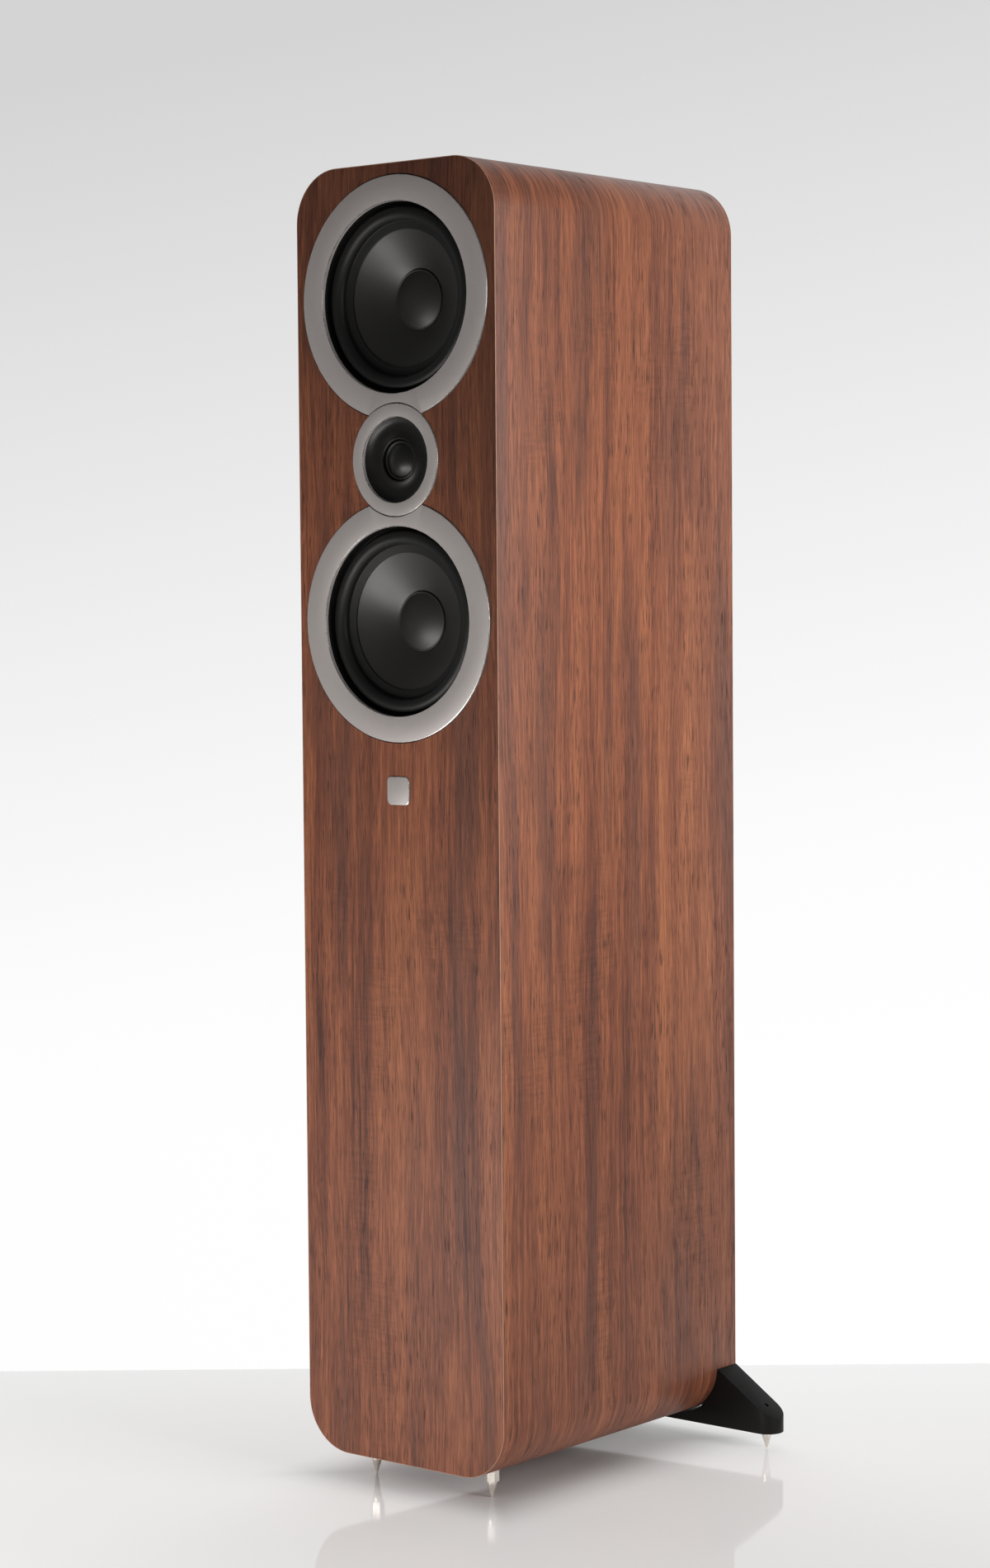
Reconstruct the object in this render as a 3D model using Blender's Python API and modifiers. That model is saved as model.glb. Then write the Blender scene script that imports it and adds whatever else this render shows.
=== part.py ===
"""Two-way floorstanding loudspeaker: bass driver, tweeter, bass driver in a tall cabinet on spikes.

Metres, +Z up. The front faces -Y, the spike tips stand on z = 0, and the origin is under the
middle of the whole object. A turned profile is a list of (radius, depth) points in millimetres,
where depth runs into the cabinet from the face that the piece is mounted on.
"""

import math

import bmesh
import bpy
from mathutils import Vector

MM = 0.001

# Cabinet
WIDTH = 200 * MM
HEIGHT = 1004 * MM
DEPTH = 301.5 * MM
CORNER = 41 * MM
GROUND_GAP = 22.5 * MM
FOIL = 0.6 * MM
PANEL = 18 * MM
BAFFLE = 22 * MM
GAP = 0.3 * MM
PROUD = 0.8 * MM
BRACE = 18 * MM

# Where things sit, above the cabinet's underside
TWEETER_HEIGHT = 778.4 * MM
DRIVER_SPACING = 123.5 * MM
BADGE_HEIGHT = 525 * MM
TERMINAL_HEIGHT = 360 * MM
BRACE_HEIGHTS = {"upper_brace": 525.5 * MM, "lower_brace": 277.5 * MM}

# Drivers
WOOFER_RING = (72.8 * MM, 92.7 * MM)
TWEETER_RING = (32.7 * MM, 43.0 * MM)
RING_BITE_GAP = 0.5 * MM
BADGE = 22 * MM
BADGE_CORNER = 4 * MM

# Rear
PORT_BORE = 33 * MM
PORT_FLANGE = 45 * MM
PORT_LENGTH = 140 * MM
CUP = (36 * MM, 46 * MM)
CUP_WALL = 3 * MM
CUP_FLANGE = 9 * MM
CUP_DEPTH = 26 * MM
CUP_CORNER = 6 * MM
POST_SPACING = 30 * MM

# Feet
STABILISER_REACH = 154 * MM
STABILISER_THICK = 26 * MM
STABILISER_UNDERSIDE = 14 * MM
STABILISER_BAR_TOP = 20.5 * MM
STABILISER_TIP = 26 * MM
STABILISER_SHOULDER = 61.5 * MM
FRONT_SPIKE = (59.5 * MM, 34 * MM)
REAR_SPIKE_OUT = 140 * MM
SHANK = 3.9 * MM
SPIKE_TIP = 0.8 * MM

FRONT = -(DEPTH - PROUD) / 2
REAR = FRONT + DEPTH
BOTTOM = GROUND_GAP
TOP = BOTTOM + HEIGHT
SKIN = FOIL + GAP
TWEETER_Z = BOTTOM + TWEETER_HEIGHT
WOOFERS = {"upper": TWEETER_Z + DRIVER_SPACING, "lower": TWEETER_Z - DRIVER_SPACING}

# Colour, roughness and metallic value of each finish
FINISHES = {
    "walnut": ((0.24, 0.10, 0.055), 0.45, 0.0),
    "fibreboard": ((0.45, 0.33, 0.20), 0.80, 0.0),
    "satin_metal": ((0.56, 0.54, 0.53), 0.38, 0.9),
    "bright_metal": ((0.75, 0.75, 0.75), 0.20, 1.0),
    "black_metal": ((0.02, 0.02, 0.02), 0.45, 0.3),
    "black_plastic": ((0.015, 0.015, 0.015), 0.45, 0.0),
    "rubber": ((0.02, 0.02, 0.02), 0.60, 0.0),
    "paper": ((0.05, 0.05, 0.055), 0.55, 0.0),
    "silk": ((0.02, 0.02, 0.022), 0.50, 0.0),
    "ferrite": ((0.06, 0.06, 0.065), 0.60, 0.1),
    "steel": ((0.50, 0.50, 0.50), 0.35, 1.0),
    "copper": ((0.72, 0.33, 0.16), 0.35, 1.0),
    "brass": ((0.80, 0.60, 0.25), 0.25, 1.0),
    "red_plastic": ((0.55, 0.02, 0.02), 0.35, 0.0),
    "circuit": ((0.05, 0.20, 0.08), 0.50, 0.0),
    "wadding": ((0.80, 0.80, 0.78), 0.95, 0.0),
    "cloth": ((0.55, 0.35, 0.12), 0.85, 0.0),
}

# How many sides a round piece has
LARGE_SIDES = 40
ROUND_SIDES = 20
SMALL_SIDES = 16
CORNER_STEPS = 8

# Rotations that turn a profile's depth axis into the cabinet
FROM_FRONT = (math.pi / 2, 0, 0)
FROM_REAR = (-math.pi / 2, 0, 0)
FROM_ABOVE = (0, 0, 0)
ALONG_X = (0, math.pi / 2, 0)

for leftover in list(bpy.data.objects):
    bpy.data.objects.remove(leftover, do_unlink=True)

speaker = bpy.data.collections.new("floorstanding_speaker")
cutters = bpy.data.collections.new("cutters")
for group in (speaker, cutters):
    bpy.context.scene.collection.children.link(group)


def finish(name, kind):
    """The piece's own Principled material."""
    colour, roughness, metallic = FINISHES[kind]
    material = bpy.data.materials.new(name)
    material.use_nodes = True
    shader = material.node_tree.nodes["Principled BSDF"]
    shader.inputs["Base Color"].default_value = (*colour, 1)
    shader.inputs["Roughness"].default_value = roughness
    shader.inputs["Metallic"].default_value = metallic
    return material


def place(name, data, kind, location=(0, 0, 0), rotation=(0, 0, 0)):
    """Links a new object, as a finished piece or, with no finish, as a cutter."""
    piece = bpy.data.objects.new(name, data)
    piece.location = location
    piece.rotation_euler = rotation
    if kind:
        data.materials.append(finish(name, kind))
        speaker.objects.link(piece)
    else:
        piece.hide_render = True
        piece.display_type = "WIRE"
        cutters.objects.link(piece)
    return piece


def combine(piece, other, operation="DIFFERENCE"):
    """Cuts or joins another mesh, which becomes a helper."""
    modifier = piece.modifiers.new(other.name, "BOOLEAN")
    modifier.object = other
    modifier.operation = operation
    modifier.solver = "EXACT"
    return piece


def box(name, low, high, kind, bevel=0.0):
    """A block between two corners."""
    low, high = Vector(low), Vector(high)
    mesh = bpy.data.meshes.new(name)
    shape = bmesh.new()
    bmesh.ops.create_cube(shape, size=1)
    bmesh.ops.scale(shape, vec=high - low, verts=shape.verts)
    shape.to_mesh(mesh)
    shape.free()
    piece = place(name, mesh, kind, (low + high) / 2)
    if bevel:
        rounding = piece.modifiers.new("rounding", "BEVEL")
        rounding.width = bevel
        rounding.segments = 2
    return piece


def cylinder(name, radius, length, sides, kind, location, rotation=FROM_ABOVE):
    """A round or, with six sides, a hexagonal bar about its middle."""
    mesh = bpy.data.meshes.new(name)
    shape = bmesh.new()
    bmesh.ops.create_cone(
        shape, cap_ends=True, segments=sides, radius1=radius, radius2=radius, depth=length
    )
    shape.to_mesh(mesh)
    shape.free()
    return place(name, mesh, kind, location, rotation)


def turned(name, profile, sides, kind, location, rotation=FROM_FRONT):
    """A profile of (radius, depth) points in millimetres, spun about its depth axis."""
    follows = profile[1:] + profile[:1]
    area = sum(r0 * t1 - r1 * t0 for (r0, t0), (r1, t1) in zip(profile, follows))
    points = profile if area > 0 else profile[::-1]
    open_ended = min(radius for radius, _ in points) == 0
    if open_ended:
        start = max(range(len(points)), key=lambda i: points[i - 1][0] == 0 == points[i][0])
        points = points[start:] + points[:start]
    mesh = bpy.data.meshes.new(name)
    shape = bmesh.new()
    corners = [shape.verts.new((radius * MM, 0, -depth * MM)) for radius, depth in points]
    for first, second in zip(corners, corners[1:] + corners[:1]):
        if not (open_ended and second is corners[0]):
            shape.edges.new((first, second))
    shape.to_mesh(mesh)
    shape.free()
    piece = place(name, mesh, kind, location, rotation)
    screw = piece.modifiers.new("turning", "SCREW")
    screw.angle = math.tau
    screw.steps = screw.render_steps = sides
    screw.use_merge_vertices = True
    screw.merge_threshold = 0.00001
    screw.use_smooth_shade = True
    return piece


def ring(inner, outer, near, far):
    """The profile of a plain ring between two radii and two depths."""
    return [(outer, near), (outer, far), (inner, far), (inner, near)]


def arc(centre, radius, start, end, steps, squash=1.0):
    """Points along an arc, with angles in degrees; squash scales its second coordinate."""
    angles = [math.radians(start + (end - start) * i / steps) for i in range(steps + 1)]
    return [
        (centre[0] + radius * math.cos(a), centre[1] + radius * squash * math.sin(a))
        for a in angles
    ]


def rounded(low, high, radius, steps):
    """A rectangle with round corners, as points anticlockwise from its lower right corner."""
    (x0, y0), (x1, y1) = low, high
    centres = (
        ((x1 - radius, y0 + radius), -90),
        ((x1 - radius, y1 - radius), 0),
        ((x0 + radius, y1 - radius), 90),
        ((x0 + radius, y0 + radius), 180),
    )
    return [p for centre, start in centres for p in arc(centre, radius, start, start + 90, steps)]


def front_outline(inset):
    """The cabinet's shape from the front, drawn in by an inset."""
    half = WIDTH / 2 - inset
    return rounded((-half, BOTTOM + inset), (half, TOP - inset), CORNER - inset, CORNER_STEPS)


def prism(name, outlines, low, high, kind, upright=True):
    """Flat outlines, the first solid and the rest holes, drawn out from low to high.

    Upright outlines are (x, z) and run along Y, and the others are (x, y) and run along Z.
    """
    curve = bpy.data.curves.new(name, "CURVE")
    curve.dimensions = "2D"
    curve.fill_mode = "BOTH"
    curve.extrude = (high - low) / 2
    for outline in outlines:
        spline = curve.splines.new("POLY")
        spline.points.add(len(outline) - 1)
        for point, (across, up) in zip(spline.points, outline):
            point.co = (across, up, 0, 1)
        spline.use_cyclic_u = True
    middle = (low + high) / 2
    if upright:
        return place(name, curve, kind, (0, middle, 0), FROM_FRONT)
    return place(name, curve, kind, (0, 0, middle))


def as_mesh(piece):
    """The same piece as a welded mesh, which a Boolean can work on."""
    bpy.context.view_layer.update()
    graph = bpy.context.evaluated_depsgraph_get()
    mesh = bpy.data.meshes.new_from_object(piece.evaluated_get(graph))
    shape = bmesh.new()
    shape.from_mesh(mesh)
    bmesh.ops.remove_doubles(shape, verts=shape.verts, dist=0.000001)
    shape.to_mesh(mesh)
    shape.free()
    name, matrix, homes = piece.name, piece.matrix_world.copy(), list(piece.users_collection)
    hidden = piece.hide_render
    bpy.data.objects.remove(piece, do_unlink=True)
    solid = bpy.data.objects.new(name, mesh)
    solid.matrix_world = matrix
    solid.hide_render = hidden
    solid.display_type = "WIRE" if hidden else "TEXTURED"
    for home in homes:
        home.objects.link(solid)
    return solid


def smooth_route(points, per_stretch=4):
    """A Catmull-Rom curve through a route's points."""
    route = [Vector(p) for p in points]
    route = [2 * route[0] - route[1], *route, 2 * route[-1] - route[-2]]
    found = []
    for a, b, c, d in zip(route, route[1:], route[2:], route[3:]):
        for step in range(per_stretch):
            t = step / per_stretch
            found.append(
                0.5 * (2 * b + (c - a) * t + (2 * a - 5 * b + 4 * c - d) * t**2)
                + 0.5 * (3 * b - a - 3 * c + d) * t**3
            )
    return found + [route[-2]]


def lead(name, points, radius, kind):
    """A wire along a smooth route."""
    route = smooth_route(points)
    curve = bpy.data.curves.new(name, "CURVE")
    curve.dimensions = "3D"
    curve.bevel_depth = radius
    curve.bevel_resolution = 2
    curve.use_fill_caps = True
    spline = curve.splines.new("POLY")
    spline.points.add(len(route) - 1)
    for point, co in zip(spline.points, route):
        point.co = (*co, 1)
    return place(name, curve, kind)


def make_cabinet():
    """The foil wrap, the two side panels, the curved top and bottom, and two window braces."""
    prism("veneer_wrap", [front_outline(0), front_outline(FOIL)], FRONT, REAR, "walnut")
    wrap = as_mesh(bpy.data.objects["veneer_wrap"])
    near, far = FRONT + BAFFLE + GAP, REAR - PANEL - GAP
    half, inner = WIDTH / 2 - SKIN, WIDTH / 2 - SKIN - PANEL
    knee = CORNER - SKIN
    for name, side in (("left_side_panel", -1), ("right_side_panel", 1)):
        x0, x1 = sorted((side * half, side * inner))
        low = (x0, near, BOTTOM + CORNER + GAP)
        high = (x1, far, TOP - CORNER - GAP)
        box(name, low, high, "fibreboard")
    bend = half - knee
    for name, level, way in (("top_panel", TOP - CORNER, 1), ("bottom_panel", BOTTOM + CORNER, -1)):
        left, right = (-bend, level), (bend, level)
        up, over = 90 * way, 180 * way
        outer = arc(right, knee, 0, up, CORNER_STEPS) + arc(left, knee, up, over, CORNER_STEPS)
        tight = knee - PANEL
        hollow = arc(left, tight, over, up, CORNER_STEPS) + arc(right, tight, up, 0, CORNER_STEPS)
        prism(name, [outer + hollow], near, far, "fibreboard")
    floor = as_mesh(bpy.data.objects["bottom_panel"])
    x, back = FRONT_SPIKE
    for side, label in ((-1, "left"), (1, "right")):
        place_at = (side * x, FRONT + back, BOTTOM)
        hole = cylinder(f"{label}_spike_hole", SHANK + GAP, 3 * PANEL, SMALL_SIDES, None, place_at)
        combine(floor, hole)
        combine(wrap, hole)
    for name, height in BRACE_HEIGHTS.items():
        edge = inner - GAP
        outline = rounded((-edge, near), (edge, far), 2 * MM, 1)
        window = rounded((-60 * MM, -92 * MM), (60 * MM, 102 * MM), 25 * MM, 4)
        z = BOTTOM + height
        prism(name, [outline, window], z - BRACE / 2, z + BRACE / 2, "fibreboard", upright=False)


def make_front():
    """The baffle with stepped holes for the drivers, and the plain badge in its pocket."""
    prism("front_baffle", [front_outline(SKIN)], FRONT, FRONT + BAFFLE, "walnut")
    baffle = as_mesh(bpy.data.objects["front_baffle"])
    bass = [(0, -8), (93, -8), (93, 2.2), (78.5, 2.2), (78.5, 5.5), (75.8, 5.5), (75.8, 30), (0, 30)]
    treble = [(0, -8), (43.3, -8), (43.3, 2.2), (41.3, 2.2), (41.3, 6.9), (33.3, 6.9)]
    treble += [(33.3, 30), (0, 30)]
    for name, z in WOOFERS.items():
        combine(baffle, turned(f"{name}_woofer_hole", bass, LARGE_SIDES, None, (0, FRONT, z)))
    combine(baffle, turned("tweeter_hole", treble, LARGE_SIDES, None, (0, FRONT, TWEETER_Z)))
    for name, grow, near, far, kind in (
        ("badge_pocket", GAP, FRONT - 5 * MM, FRONT + 0.7 * MM, None),
        ("badge", 0, FRONT - PROUD, FRONT + 0.4 * MM, "satin_metal"),
    ):
        half, z = BADGE / 2 + grow, BOTTOM + BADGE_HEIGHT
        outline = rounded((-half, z - half), (half, z + half), BADGE_CORNER + grow, 3)
        plate = as_mesh(prism(name, [outline], near, far, kind))
        if kind is None:
            combine(baffle, plate)


def make_trim_rings():
    """Three thin rings, where the tweeter's ring bites into the two big ones."""
    inner, outer = (r / MM for r in WOOFER_RING)
    back = 1.9
    notch = TWEETER_RING[1] + RING_BITE_GAP
    bite = cylinder("ring_bite", notch, 20 * MM, LARGE_SIDES, None, (0, FRONT, TWEETER_Z), FROM_FRONT)
    for name, z in WOOFERS.items():
        profile = ring(inner, outer, -PROUD / MM, back)
        big = turned(f"{name}_woofer_trim_ring", profile, LARGE_SIDES, "satin_metal", (0, FRONT, z))
        combine(big, bite)
    inner, outer = (r / MM for r in TWEETER_RING)
    profile = ring(inner, outer, -PROUD / MM, back)
    turned("tweeter_trim_ring", profile, LARGE_SIDES, "satin_metal", (0, FRONT, TWEETER_Z))


def woofer_basket(name, at):
    """The cast frame: front flange, surround seat, windowed cone and spider shelf."""
    flange = [(78.2, 2.2), (78.2, 5.2), (75.4, 5.2), (75.4, 11.8)]
    rear_plate = [(50, 47), (50, 50.7), (17.4, 50.7), (17.4, 47.7)]
    shelf = [(44, 47.7), (44, 38), (53.6, 38)]
    surround_seat = [(70.4, 14.2), (68.4, 12.6), (68.4, 10.3), (72.6, 10.3), (72.6, 2.2)]
    basket = turned(name, flange + rear_plate + shelf + surround_seat, ROUND_SIDES, "black_metal", at)
    for turn in range(3):
        low, high = Vector((-0.1, 15 * MM, -21 * MM)), Vector((0.1, 34 * MM, 21 * MM))
        window = box(f"{name}_window_{turn + 1}", low, high, None)
        window.location += Vector(at)
        window.rotation_euler = (0, math.radians(30 + 60 * turn), 0)
        combine(basket, window)


def corrugated(inner, outer, depth, thick, waves, height):
    """A flat ring whose middle is pleated into concentric waves."""
    span = (outer - inner) * 0.62
    start = inner + (outer - inner) * 0.12
    front = [(inner, depth)]
    for step in range(2 * waves + 1):
        lift = 0 if step in (0, 2 * waves) else height * (-1 if step % 2 else 1)
        front.append((start + span * step / (2 * waves), depth + lift))
    front.append((outer, depth))
    return front + [(r, t + thick) for r, t in reversed(front)]


def make_woofer(name, z):
    """Everything behind one trim ring, from the basket to the yoke."""
    at = (0, FRONT, z)
    label = f"{name}_woofer"
    woofer_basket(f"{label}_basket", at)

    cone = [(58.9, 12.2), (52.8, 13.5), (16.8, 33.8), (16.8, 34.9), (52.8, 14.5), (58.9, 13.1)]
    turned(f"{label}_cone", cone, ROUND_SIDES, "paper", at)

    roll = (65.1, 10.0)
    surround = (
        [(71.8, 10.0), (71.8, 9.3)]
        + arc(roll, 5.9, -5, -175, 4)
        + [(59.2, 11.4), (52.8, 12.7), (52.8, 13.2), (59.6, 11.9)]
        + arc(roll, 5.2, -180, 0, 4)
    )
    turned(f"{label}_surround", surround, ROUND_SIDES, "rubber", at)

    cap_height, cap_radius = 5.8, 22.4
    sphere = (cap_radius**2 + cap_height**2) / (2 * cap_height)
    sweep = math.degrees(math.asin(cap_radius / sphere))
    middle = (0, 29.1 - cap_height + sphere)
    dome = arc(middle, sphere, -90, sweep - 90, 3)[1:]
    inside = arc(middle, sphere - 0.7, sweep - 91, -90, 3)[:-1]
    tip = middle[1] - sphere
    cap = [(0, tip)] + dome + [(23, 29.0), (23, 29.7), (22, 29.7)] + inside + [(0, tip + 0.7)]
    turned(f"{label}_dust_cap", cap, ROUND_SIDES, "paper", at)

    former = [(16.1, 57), (16.1, 59), (15.6, 59), (15.6, 31.5)]
    coil = [(16.1, 31.5), (16.1, 50), (16.7, 50), (16.7, 57)] + former
    turned(f"{label}_voice_coil", coil, SMALL_SIDES, "copper", at)
    turned(f"{label}_spider", corrugated(16.5, 52, 37.1, 0.6, 2, 1.6), ROUND_SIDES, "cloth", at)
    turned(f"{label}_top_plate", ring(17.2, 45, 51, 57), ROUND_SIDES, "steel", at)
    turned(f"{label}_magnet", ring(22, 45, 57.3, 74.3), ROUND_SIDES, "ferrite", at)
    yoke = [(15, 51), (15, 74.6), (43, 74.6), (43, 80.6), (4.5, 80.6), (4.5, 51)]
    turned(f"{label}_yoke", yoke, ROUND_SIDES, "steel", at)


def make_tweeter():
    """The faceplate with its shallow dish, the soft dome and the motor behind it."""
    at = (0, FRONT, TWEETER_Z)
    dish = [(32.4, 2.2), (31, 3.4), (27.5, 4.7), (23, 5.2), (19.5, 4.7), (17.4, 3.7), (16.3, 3.5)]
    faceplate = [(41, 2.2), (41, 5), (32.9, 5), (32.9, 9), (15.9, 9), (15.9, 4)] + dish[::-1]
    turned("tweeter_faceplate", faceplate, ROUND_SIDES, "black_plastic", at)
    turned("tweeter_gasket", ring(33.6, 41, 5.3, 6.6), ROUND_SIDES, "rubber", at)

    height, radius = 5.0, 12.9
    sphere = (radius**2 + height**2) / (2 * height)
    sweep = math.degrees(math.asin(radius / sphere))
    middle = (0, 6.6 - height + sphere)
    tip = middle[1] - sphere
    front = arc(middle, sphere, -90, sweep - 90, 4)[1:]
    inside = arc(middle, sphere - 0.4, sweep - 90, -90, 3)[:-1]
    fold = arc((14.2, 6.6), 1.2, -165, -15, 3)
    skirt = [(15.6, 6.5), (15.6, 6.9), (12.9, 7.0)]
    dome = [(0, tip)] + front + fold + skirt + inside + [(0, tip + 0.4)]
    turned("tweeter_dome", dome, ROUND_SIDES, "silk", at)

    turned("tweeter_voice_coil", ring(12.3, 12.8, 7.4, 14), SMALL_SIDES, "copper", at)
    turned("tweeter_magnet", [(0, 9.6), (11.6, 9.6), (11.6, 20.7), (0, 20.7)], SMALL_SIDES, "ferrite", at)
    pot = [(20, 9.3), (20, 25), (0, 25), (0, 21), (13.4, 21), (13.4, 9.3)]
    turned("tweeter_yoke", pot, ROUND_SIDES, "steel", at)
    cup = [(30, 9.3), (30, 35), (0, 35), (0, 33), (28, 33), (28, 9.3)]
    turned("tweeter_rear_cup", cup, ROUND_SIDES, "black_plastic", at)


def make_rear():
    """The rear panel with its two holes, the flared reflex port and the terminal cup."""
    prism("rear_panel", [front_outline(SKIN)], REAR - PANEL, REAR, "black_plastic")
    panel = as_mesh(bpy.data.objects["rear_panel"])
    port_at = (0, REAR, TWEETER_Z)
    hole = [(0, -8), (45.3, -8), (45.3, 3.3), (38.8, 3.3), (38.8, 30), (0, 30)]
    combine(panel, turned("port_hole", hole, LARGE_SIDES, None, port_at, FROM_REAR))

    bore, flange, length = PORT_BORE / MM, PORT_FLANGE / MM, PORT_LENGTH / MM
    outside = [(flange, 0), (flange, 3), (38.4, 3), (38.4, 14), (bore + 2.5, 18), (bore + 2.5, length)]
    mouth = flange - 1.6
    flare = arc((mouth, 18), mouth - bore, 180, 270, 5, squash=18 / (mouth - bore))
    port = outside + [(bore, length)] + flare
    turned("reflex_port", port, ROUND_SIDES, "black_plastic", port_at, FROM_REAR)

    z = BOTTOM + TERMINAL_HEIGHT
    across, up = CUP

    def cup_outline(grow):
        """The cup's opening, drawn out by grow."""
        low, high = (-across - grow, z - up - grow), (across + grow, z + up + grow)
        return rounded(low, high, CUP_CORNER + grow / 2, 3)

    def cup_prism(name, grow, near, far, kind=None):
        """A block of the cup's shape between two depths from the rear face."""
        return as_mesh(prism(name, [cup_outline(grow)], REAR - far, REAR - near, kind))

    combine(panel, cup_prism("cup_flange_pocket", CUP_FLANGE + GAP, -5 * MM, 3 * MM + GAP))
    combine(panel, cup_prism("cup_hole", CUP_WALL + GAP, -5 * MM, 2 * PANEL))
    cup = cup_prism("terminal_cup", CUP_FLANGE, 0, 3 * MM, "black_plastic")
    combine(cup, cup_prism("cup_body", CUP_WALL, MM, CUP_DEPTH + CUP_WALL), "UNION")
    combine(cup, cup_prism("cup_recess", 0, -5 * MM, CUP_DEPTH))

    for label, side in (("red", 1), ("black", -1)):
        at = (side * POST_SPACING / 2, REAR, z)
        combine(cup, cylinder(f"{label}_post_hole", 3.3 * MM, 80 * MM, SMALL_SIDES, None, at, FROM_REAR))
        socket = [(0, 20), (2.05, 18), (2.05, 4.6)]
        stud = socket + [(3, 4.6), (3, 19.4), (7, 19.4), (7, 25.7), (3, 25.7), (3, 38), (0, 38)]
        turned(f"{label}_post_stud", stud, SMALL_SIDES, "brass", at, FROM_REAR)
        turned(f"{label}_post_washer", ring(3.4, 7, 17.6, 19.1), SMALL_SIDES, "brass", at, FROM_REAR)
        grip = [(5.4, 3), (6.8, 4), (6.8, 14), (6, 15), (6, 17.3), (3.4, 17.3), (3.4, 3)]
        kind = "red_plastic" if label == "red" else "black_plastic"
        turned(f"{label}_post_knob", grip, SMALL_SIDES, kind, at, FROM_REAR)


def make_inside():
    """The crossover on the cabinet's floor, the wadding and the leads."""
    floor = BOTTOM + SKIN + PANEL + GAP
    board_top = floor + 1.6 * MM
    box("crossover_board", (-60 * MM, -20 * MM, floor), (60 * MM, 100 * MM, board_top), "circuit")
    for name, radii, height, x, y in (
        ("bass_inductor", (9, 27), 22, -25, 42),
        ("treble_inductor", (6, 15), 14, 30, 44),
    ):
        at = (x * MM, y * MM, board_top + GAP + height * MM)
        turned(name, ring(*radii, 0, height), ROUND_SIDES, "copper", at, FROM_ABOVE)
    body = (10 * MM, 0, board_top + GAP + 10 * MM)
    cylinder("bass_capacitor", 10 * MM, 42 * MM, SMALL_SIDES, "black_plastic", body, ALONG_X)

    low, high = (-76 * MM, -124 * MM, 322 * MM), (76 * MM, -80 * MM, 528 * MM)
    box("acoustic_wadding", low, high, "wadding", bevel=12 * MM)

    start = board_top + GAP
    tag = FRONT + 52 * MM
    bass = WOOFERS["upper"], WOOFERS["lower"]
    side = 50 * MM
    lead_radius = 1.5 * MM
    routes = {
        "upper_woofer_lead": [
            (-side, 85 * MM, start),
            (-side, 85 * MM, 0.30),
            (-side, 85 * MM, 0.62),
            (-side, 80 * MM, bass[0] - 0.05),
            (-54 * MM, 0, bass[0] - 0.02),
            (-56 * MM, tag, bass[0]),
        ],
        "lower_woofer_lead": [
            (side, 85 * MM, start),
            (side, 85 * MM, 0.30),
            (side, 80 * MM, bass[1] - 0.06),
            (54 * MM, 0, bass[1] - 0.02),
            (56 * MM, tag, bass[1]),
        ],
        "tweeter_lead": [
            (43 * MM, 92 * MM, start),
            (43 * MM, 92 * MM, 0.30),
            (43 * MM, 92 * MM, 0.62),
            (43 * MM, 84 * MM, 0.735),
            (32 * MM, -20 * MM, 0.765),
            (8 * MM, -96 * MM, TWEETER_Z - 4 * MM),
            (0, FRONT + 36 * MM, TWEETER_Z),
        ],
        "input_lead": [
            (0, REAR - 40 * MM, BOTTOM + TERMINAL_HEIGHT),
            (0, 96 * MM, 0.345),
            (0, 88 * MM, 0.27),
            (0, 88 * MM, 0.14),
            (0, 88 * MM, start),
        ],
    }
    for name, route in routes.items():
        lead(name, route, lead_radius, "rubber")


def make_spike(name, at, profile, collar=None):
    """A levelling spike hanging from its joint axis, with a hexagon collar if it has one."""
    spike = turned(name, profile, SMALL_SIDES, "bright_metal", at, FROM_ABOVE)
    if collar:
        across_corners, near, far = collar
        middle = (at[0], at[1], at[2] - (near + far) / 2 * MM)
        length = (far - near) * MM
        hexagon = cylinder(f"{name}_collar", across_corners / 2 * MM, length, 6, None, middle)
        combine(spike, hexagon, "UNION")


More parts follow.
